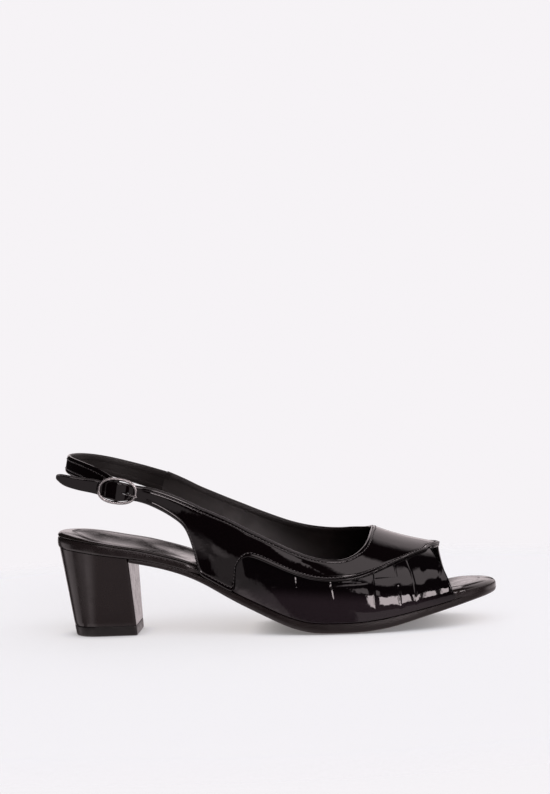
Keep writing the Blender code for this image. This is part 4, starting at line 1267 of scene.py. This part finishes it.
def sling_sheet():
    """Inner face of the slingback, from the seam to the buckle's bar."""
    middle = [(row.x, row.y, row.z) for row in SLING]
    width = [row.width for row in SLING]
    up = []
    for row in SLING:
        inward = unit(np.array((ANKLE[0] - row.x, ANKLE[1] - row.y, 0.0)))
        lean = math.radians(row.lean)
        up.append(math.cos(lean) * np.array((0.0, 0.0, 1.0)) + math.sin(lean) * inward)
    for row in SLING_END:
        middle.append(at_buckle(row.along, row.rise, row.lift))
        width.append(row.width)
        up.append(buckle_axes().across)
    knots = np.arange(len(middle))
    steps = np.linspace(0, knots[-1], SLING_STEPS * knots[-1] + 1)
    path = np.stack([curve(knots, column, SLING_BLUR)(steps) for column in zip(*middle)], axis=1)
    path[0] += unit(path[0] - path[1]) * SEAM_CLOSE
    lean = np.stack([curve(knots, column, SLING_BLUR)(steps) for column in zip(*up)], axis=1)
    half = curve(knots, width)(steps) / 2
    forward = unit(np.gradient(path, axis=0))
    lean = unit(lean - forward * np.sum(lean * forward, axis=1, keepdims=True))
    normal = np.cross(forward, lean)
    rows = np.linspace(1, -1, LAST_ROWS + 1)
    inner = path - normal * SLING_THICKNESS / 2
    points = inner[:, None] + (half[:, None] * rows)[..., None] * lean[:, None]
    return Sheet(points, np.broadcast_to(normal[:, None], points.shape), LAST_ROWS)


def bar_collar(start, end):
    """Points and faces of the strap's end folded round a stretch of the buckle's bar."""
    turn = circle(LOOP_SIDES)
    bore = BAR_WIRE + GAP
    outside = bore + LOOP_LEATHER
    rings = []
    for across, radius in ((start, bore), (start, outside), (end, outside), (end, bore)):
        rings.append(at_buckle(radius * np.cos(turn), np.full(turn.shape, across),
                               radius * np.sin(turn) - BAR_DROP))
    return closed_ring(np.array(rings))


def sling_tongue(sheet):
    """Points and faces of the strap's thin end, sewn in between the quarter and its lining."""
    top, low = sheet.points[0, 0], sheet.points[0, -1]
    normal = sheet.normals[0, 0]
    down = unit(low - top)
    forward = np.cross(down, normal)
    inward = TONGUE.trim * down
    corners = np.array((top + inward, low - inward, low - inward, top + inward))
    lifts = SLING_THICKNESS / 2 + TONGUE.thickness / 2 * np.array((-1, -1, 1, 1))
    section = corners + normal * lifts[:, None]
    if forward[0] < 0:
        forward = -forward
    return tube(np.array([section + forward * reach for reach in (-TONGUE.back, TONGUE.front)]))


def make_slingback():
    sheet = sling_sheet()
    sewn = np.ones(len(sheet.points))
    at, height = band_loops(sheet, 0 * sewn, sewn, SLING_THICKNESS)
    loops = sheet.at(at, height)
    gap_half = PRONG_WIRE + 2 * GAP
    folds = [bar_collar(*ends) for ends in ((-LOOP_WIDTH / 2, -gap_half), (gap_half, LOOP_WIDTH / 2))]
    tongue = sling_tongue(sheet)
    points, faces = joined(tube(loops), *folds, tongue)
    patent_faces = np.zeros(sum(len(fold_faces) for _, fold_faces in folds))
    finish = np.concatenate((band_finish(loops), patent_faces, np.ones(len(tongue[1]))))
    piece = mesh_piece("sling_strap", points, faces, [PATENT, LINING], finish)
    dress(piece, "strap_patent", "slingback_strap")
    stitches("sling_stitches", "strap_patent", edge_stitches(sheet, sewn, sewn, SLING_THICKNESS))


def wire(path, radius, plane, closed=False):
    """Points and faces of a round wire along a flat path, whose plane has the given normal."""
    if closed:
        tangent = np.roll(path, -1, axis=0) - np.roll(path, 1, axis=0)
    else:
        tangent = np.gradient(path, axis=0)
    tangent = unit(tangent)
    across = np.cross(tangent, plane)
    turn = circle(WIRE_SIDES)
    radius = np.broadcast_to(radius, len(path))[:, None, None]
    loops = path[:, None] + radius * (np.cos(turn)[None, :, None] * across[:, None]
                                      + np.sin(turn)[None, :, None] * np.asarray(plane))
    return closed_ring(loops) if closed else tube(loops)


def make_ring():
    axes = buckle_axes()
    turn = circle(RING_STEPS)
    cos, sin = np.cos(turn), np.sin(turn)
    swell = (np.abs(cos) ** RING_POWER + np.abs(sin) ** RING_POWER) ** (-1 / RING_POWER)
    oval = at_buckle(RING_HALF[0] * swell * cos, RING_HALF[1] * swell * sin, np.zeros(len(turn)))
    knee = RING_HALF[1] - BAR_KNEE
    across = np.linspace(-RING_HALF[1], RING_HALF[1], BAR_STEPS)
    drop = BAR_DROP * (1 - smooth_step(np.abs(across), knee - BAR_KNEE / 2, RING_HALF[1]))
    bar = wire(at_buckle(np.zeros(BAR_STEPS), across, -drop), BAR_WIRE, axes.along)
    points, faces = joined(wire(oval, RING_WIRE, axes.out, closed=True), bar)
    dress(mesh_piece("buckle_ring", points, faces, [SILVER]), "buckle_metal", "buckle_frame")


def make_prong():
    """The prong: hooked round the bar, straight to the ring, and flat over its front."""
    hook = BAR_WIRE + GAP + PRONG_WIRE
    arc = np.linspace(*PRONG_HOOK, HOOK_STEPS)
    hook_along = hook * np.cos(arc)
    hook_lift = hook * np.sin(arc) - BAR_DROP
    front, rest = -RING_HALF[0], RING_WIRE + GAP + PRONG_WIRE
    shaft = np.linspace(0, 1, SHAFT_STEPS)[1:]
    shaft_along = hook_along[-1] + (front - hook_along[-1]) * shaft
    shaft_lift = hook_lift[-1] + (rest - hook_lift[-1]) * shaft
    tip_along = np.linspace(front, -PRONG_TIP, TIP_STEPS)[1:]
    along = np.concatenate((hook_along, shaft_along, tip_along))
    lift = np.concatenate((hook_lift, shaft_lift, np.full(len(tip_along), rest)))
    path = blur(at_buckle(along, PRONG_SLANT * np.minimum(along, 0) / PRONG_TIP, lift), PRONG_BLUR)
    radius = np.full(len(along), PRONG_WIRE)
    radius[-len(PRONG_POINT):] *= PRONG_POINT
    prong = mesh_piece("buckle_pin", *wire(path, radius, buckle_axes().across), [SILVER])
    dress(prong, "buckle_metal", "buckle_prong")


# Studio

CAMERA_AT = (183.0, -1150.0, 164.1)
CAMERA_YAW = math.radians(-2.9)
CAMERA_PITCH = math.radians(1.8)
CAMERA_ROLL = math.radians(-2.4)
FOCAL_PIXELS = 2073.0
FRAME_PIXELS = 794.0
SENSOR = 36.0
CLIP_END = 100.0
PAPER = (0.921, 0.896, 0.921)
PAPER_HALF = 1.0            # metres of floor paper on each side
PAPER_DROP = 0.0002         # metres that it lies under the sole
PAPER_FADE = (0.34, 0.44)   # metres from the shoe's middle over which the paper runs out of sight
SUN_ANGLE = math.radians(90.0)
SUN_TILT = math.radians(25.0)       # from straight overhead to the viewer's side
SUN_STRENGTH = 1.1
PAPER_BASE = (0.44, 0.49, 0.54)
PAPER_GLOW = (0.55, 0.52, 0.51)     # what the paper gives off itself, so that shadows stay light
CONTACT = (0.014, 0.3)      # reach in metres of the painted contact shadow under the sole, where the paper's glow is dimmed by occlusion, and the share of glow left there

# What the leather mirrors: stretches of the sphere round the shoe by elevation and azimuth in
# degrees (azimuth 0 to the toe, 90 behind the shoe), the softness of their edges and their glow
Panel = namedtuple("Panel", "low high start end soft_low soft_high soft_side glow")
PANELS = {
    "paper behind": Panel(8, 48, 20, 82, 6, 14, 3, 1.0),
    "paper above the heel": Panel(24, 48, 90.5, 112, 5, 14, 2, 1.8),
    "paper behind the toe": Panel(6, 15, 84, 90.4, 5, 5, 1.2, 1.1),
    "paper behind the heel": Panel(4, 15, 97, 112, 5, 5, 5, 1.0),
    "floor behind": Panel(-90, -4, 20, 112, 3, 3, 10, 0.95),
    "ceiling": Panel(39, 64, -84, -24, 4, 7, 12, 1.5),
    "window": Panel(9.5, 19, -81, -62.5, 1, 1, 1.5, 10.0),
    "second window": Panel(9.5, 19, -56.5, -52, 1, 1, 1.5, 10.0),
    "third window": Panel(9.5, 19, -46.5, -41, 1, 1, 1.5, 10.0),
    "small window": Panel(21.5, 27.5, -85, -79.8, 1, 1, 1, 1.5),
    "floor in front": Panel(-90, -5, -91, -10, 3, 3, 3, 0.48),
    "floor at the waist": Panel(-90, -27, -117, -94, 3, 3, 3, 0.40),
    "floor beside the heel": Panel(-90, -13, -140, -120, 3, 3, 3, 0.40),
    "floor by the heel": Panel(-70, -24, -180, -140, 5, 5, 40, 0.85),
    "behind the heel": Panel(-70, -5, 150, 180, 5, 5, 15, 0.7),
    "toe side": Panel(8, 35, -22, 12, 6, 8, 8, 1.3),
}
DARK_ROOM = 0.015
ROOM_TINT = (1.0, 0.88, 0.90)


def make_camera():
    data = bpy.data.cameras.new("camera")
    data.sensor_width = SENSOR
    data.lens = FOCAL_PIXELS * SENSOR / FRAME_PIXELS
    data.clip_end = CLIP_END
    camera = bpy.data.objects.new("camera", data)
    level = math.cos(CAMERA_PITCH)
    forward = Vector((math.sin(CAMERA_YAW) * level, math.cos(CAMERA_YAW) * level,
                      -math.sin(CAMERA_PITCH)))
    right = Vector((math.cos(CAMERA_YAW), -math.sin(CAMERA_YAW), 0.0))
    up = right.cross(forward)
    across = right * math.cos(CAMERA_ROLL) + up * math.sin(CAMERA_ROLL)
    above = up * math.cos(CAMERA_ROLL) - right * math.sin(CAMERA_ROLL)
    turn = Matrix((across, above, -forward)).transposed().to_4x4()
    camera.matrix_world = Matrix.Translation(Vector(np.array(CAMERA_AT) * MM + ORIGIN)) @ turn
    bpy.context.scene.collection.objects.link(camera)
    bpy.context.scene.camera = camera


def make_floor():
    """Paper under the shoe that takes its shadow and fades into the background."""
    mesh = bpy.data.meshes.new("floor")
    half, level = PAPER_HALF, FLOOR - PAPER_DROP
    corners = [(-half, -half, level), (half, -half, level), (half, half, level), (-half, half, level)]
    mesh.from_pydata(corners, [], [(0, 1, 2, 3)])
    floor = bpy.data.objects.new("floor", mesh)
    bpy.context.scene.collection.objects.link(floor)
    shader = Shader("paper", PAPER_BASE, roughness=0.9, specular_ior_level=0.0,
                    emission_color=(*PAPER_GLOW, 1.0))
    # The paper's glow dims by occlusion near the sole: a painted contact shadow
    open_sky = shader.node("ShaderNodeAmbientOcclusion", distance=CONTACT[0]).outputs["AO"]
    shader.set("Emission Strength", shader.ramp(open_sky, 0.0, 1.0, CONTACT[1], 1.0))
    floor.visible_glossy = False
    reach = shader.node("ShaderNodeVectorMath", vector=shader.place)
    reach.operation = "LENGTH"
    shader.set("Alpha", shader.ramp(reach.outputs["Value"], *PAPER_FADE, 1.0, 0.0))
    mesh.materials.append(shader.material)


def make_world():
    """Plain paper to the camera, and the studio's panels to everything else."""
    world = bpy.data.worlds.new("studio")
    bpy.context.scene.world = world
    world.use_nodes = True
    studio = Tree(world.node_tree)
    studio.tree.nodes.clear()
    place = studio.node("ShaderNodeTexCoord").outputs["Generated"]
    x, y, z = studio.node("ShaderNodeSeparateXYZ", vector=place).outputs
    elevation = studio.math("DEGREES", studio.math("ARCSINE", z))
    azimuth = studio.math("DEGREES", studio.math("ARCTAN2", y, x))
    light = DARK_ROOM
    for row in PANELS.values():
        share = row.glow
        for value, low, high, soft_low, soft_high in (
                (elevation, row.low, row.high, row.soft_low, row.soft_high),
                (azimuth, row.start, row.end, row.soft_side, row.soft_side)):
            share = studio.math("MULTIPLY", share, studio.ramp(value, low - soft_low, low, 0.0, 1.0))
            share = studio.math("MULTIPLY", share, studio.ramp(value, high, high + soft_high, 1.0, 0.0))
        light = studio.math("ADD", light, share)
    around = studio.node("ShaderNodeBackground", color=(*ROOM_TINT, 1.0), strength=light)
    seen = studio.node("ShaderNodeBackground", color=(*PAPER, 1.0))
    to_camera = studio.node("ShaderNodeLightPath").outputs["Is Camera Ray"]
    mix = studio.node("ShaderNodeMixShader", fac=to_camera)
    studio.fill(mix.inputs[1], around.outputs[0])
    studio.fill(mix.inputs[2], seen.outputs[0])
    studio.node("ShaderNodeOutputWorld", surface=mix.outputs[0])


def make_lights():
    """A broad soft light from above, for the shadow on the paper."""
    data = bpy.data.lights.new("overhead", "SUN")
    data.angle = SUN_ANGLE
    data.energy = SUN_STRENGTH
    lamp = bpy.data.objects.new("overhead", data)
    lamp.rotation_euler.x = SUN_TILT
    lamp.visible_glossy = False
    bpy.context.scene.collection.objects.link(lamp)


def main():
    make_camera()
    make_floor()
    make_world()
    make_lights()
    bpy.context.scene.view_settings.view_transform = "Standard"
    make_sole()
    make_heel()
    sheet, lapped, sewn, ribs = wall_sheet()
    make_upper(sheet, lapped, ribs)
    make_collar(sheet, lapped, sewn)
    stitches("collar_stitches", "smooth_patent", edge_stitches(sheet, sewn, ribs > LOW_STITCH_RIB))
    make_slingback()
    make_ring()
    make_prong()


main()
bpy.context.view_layer.update()
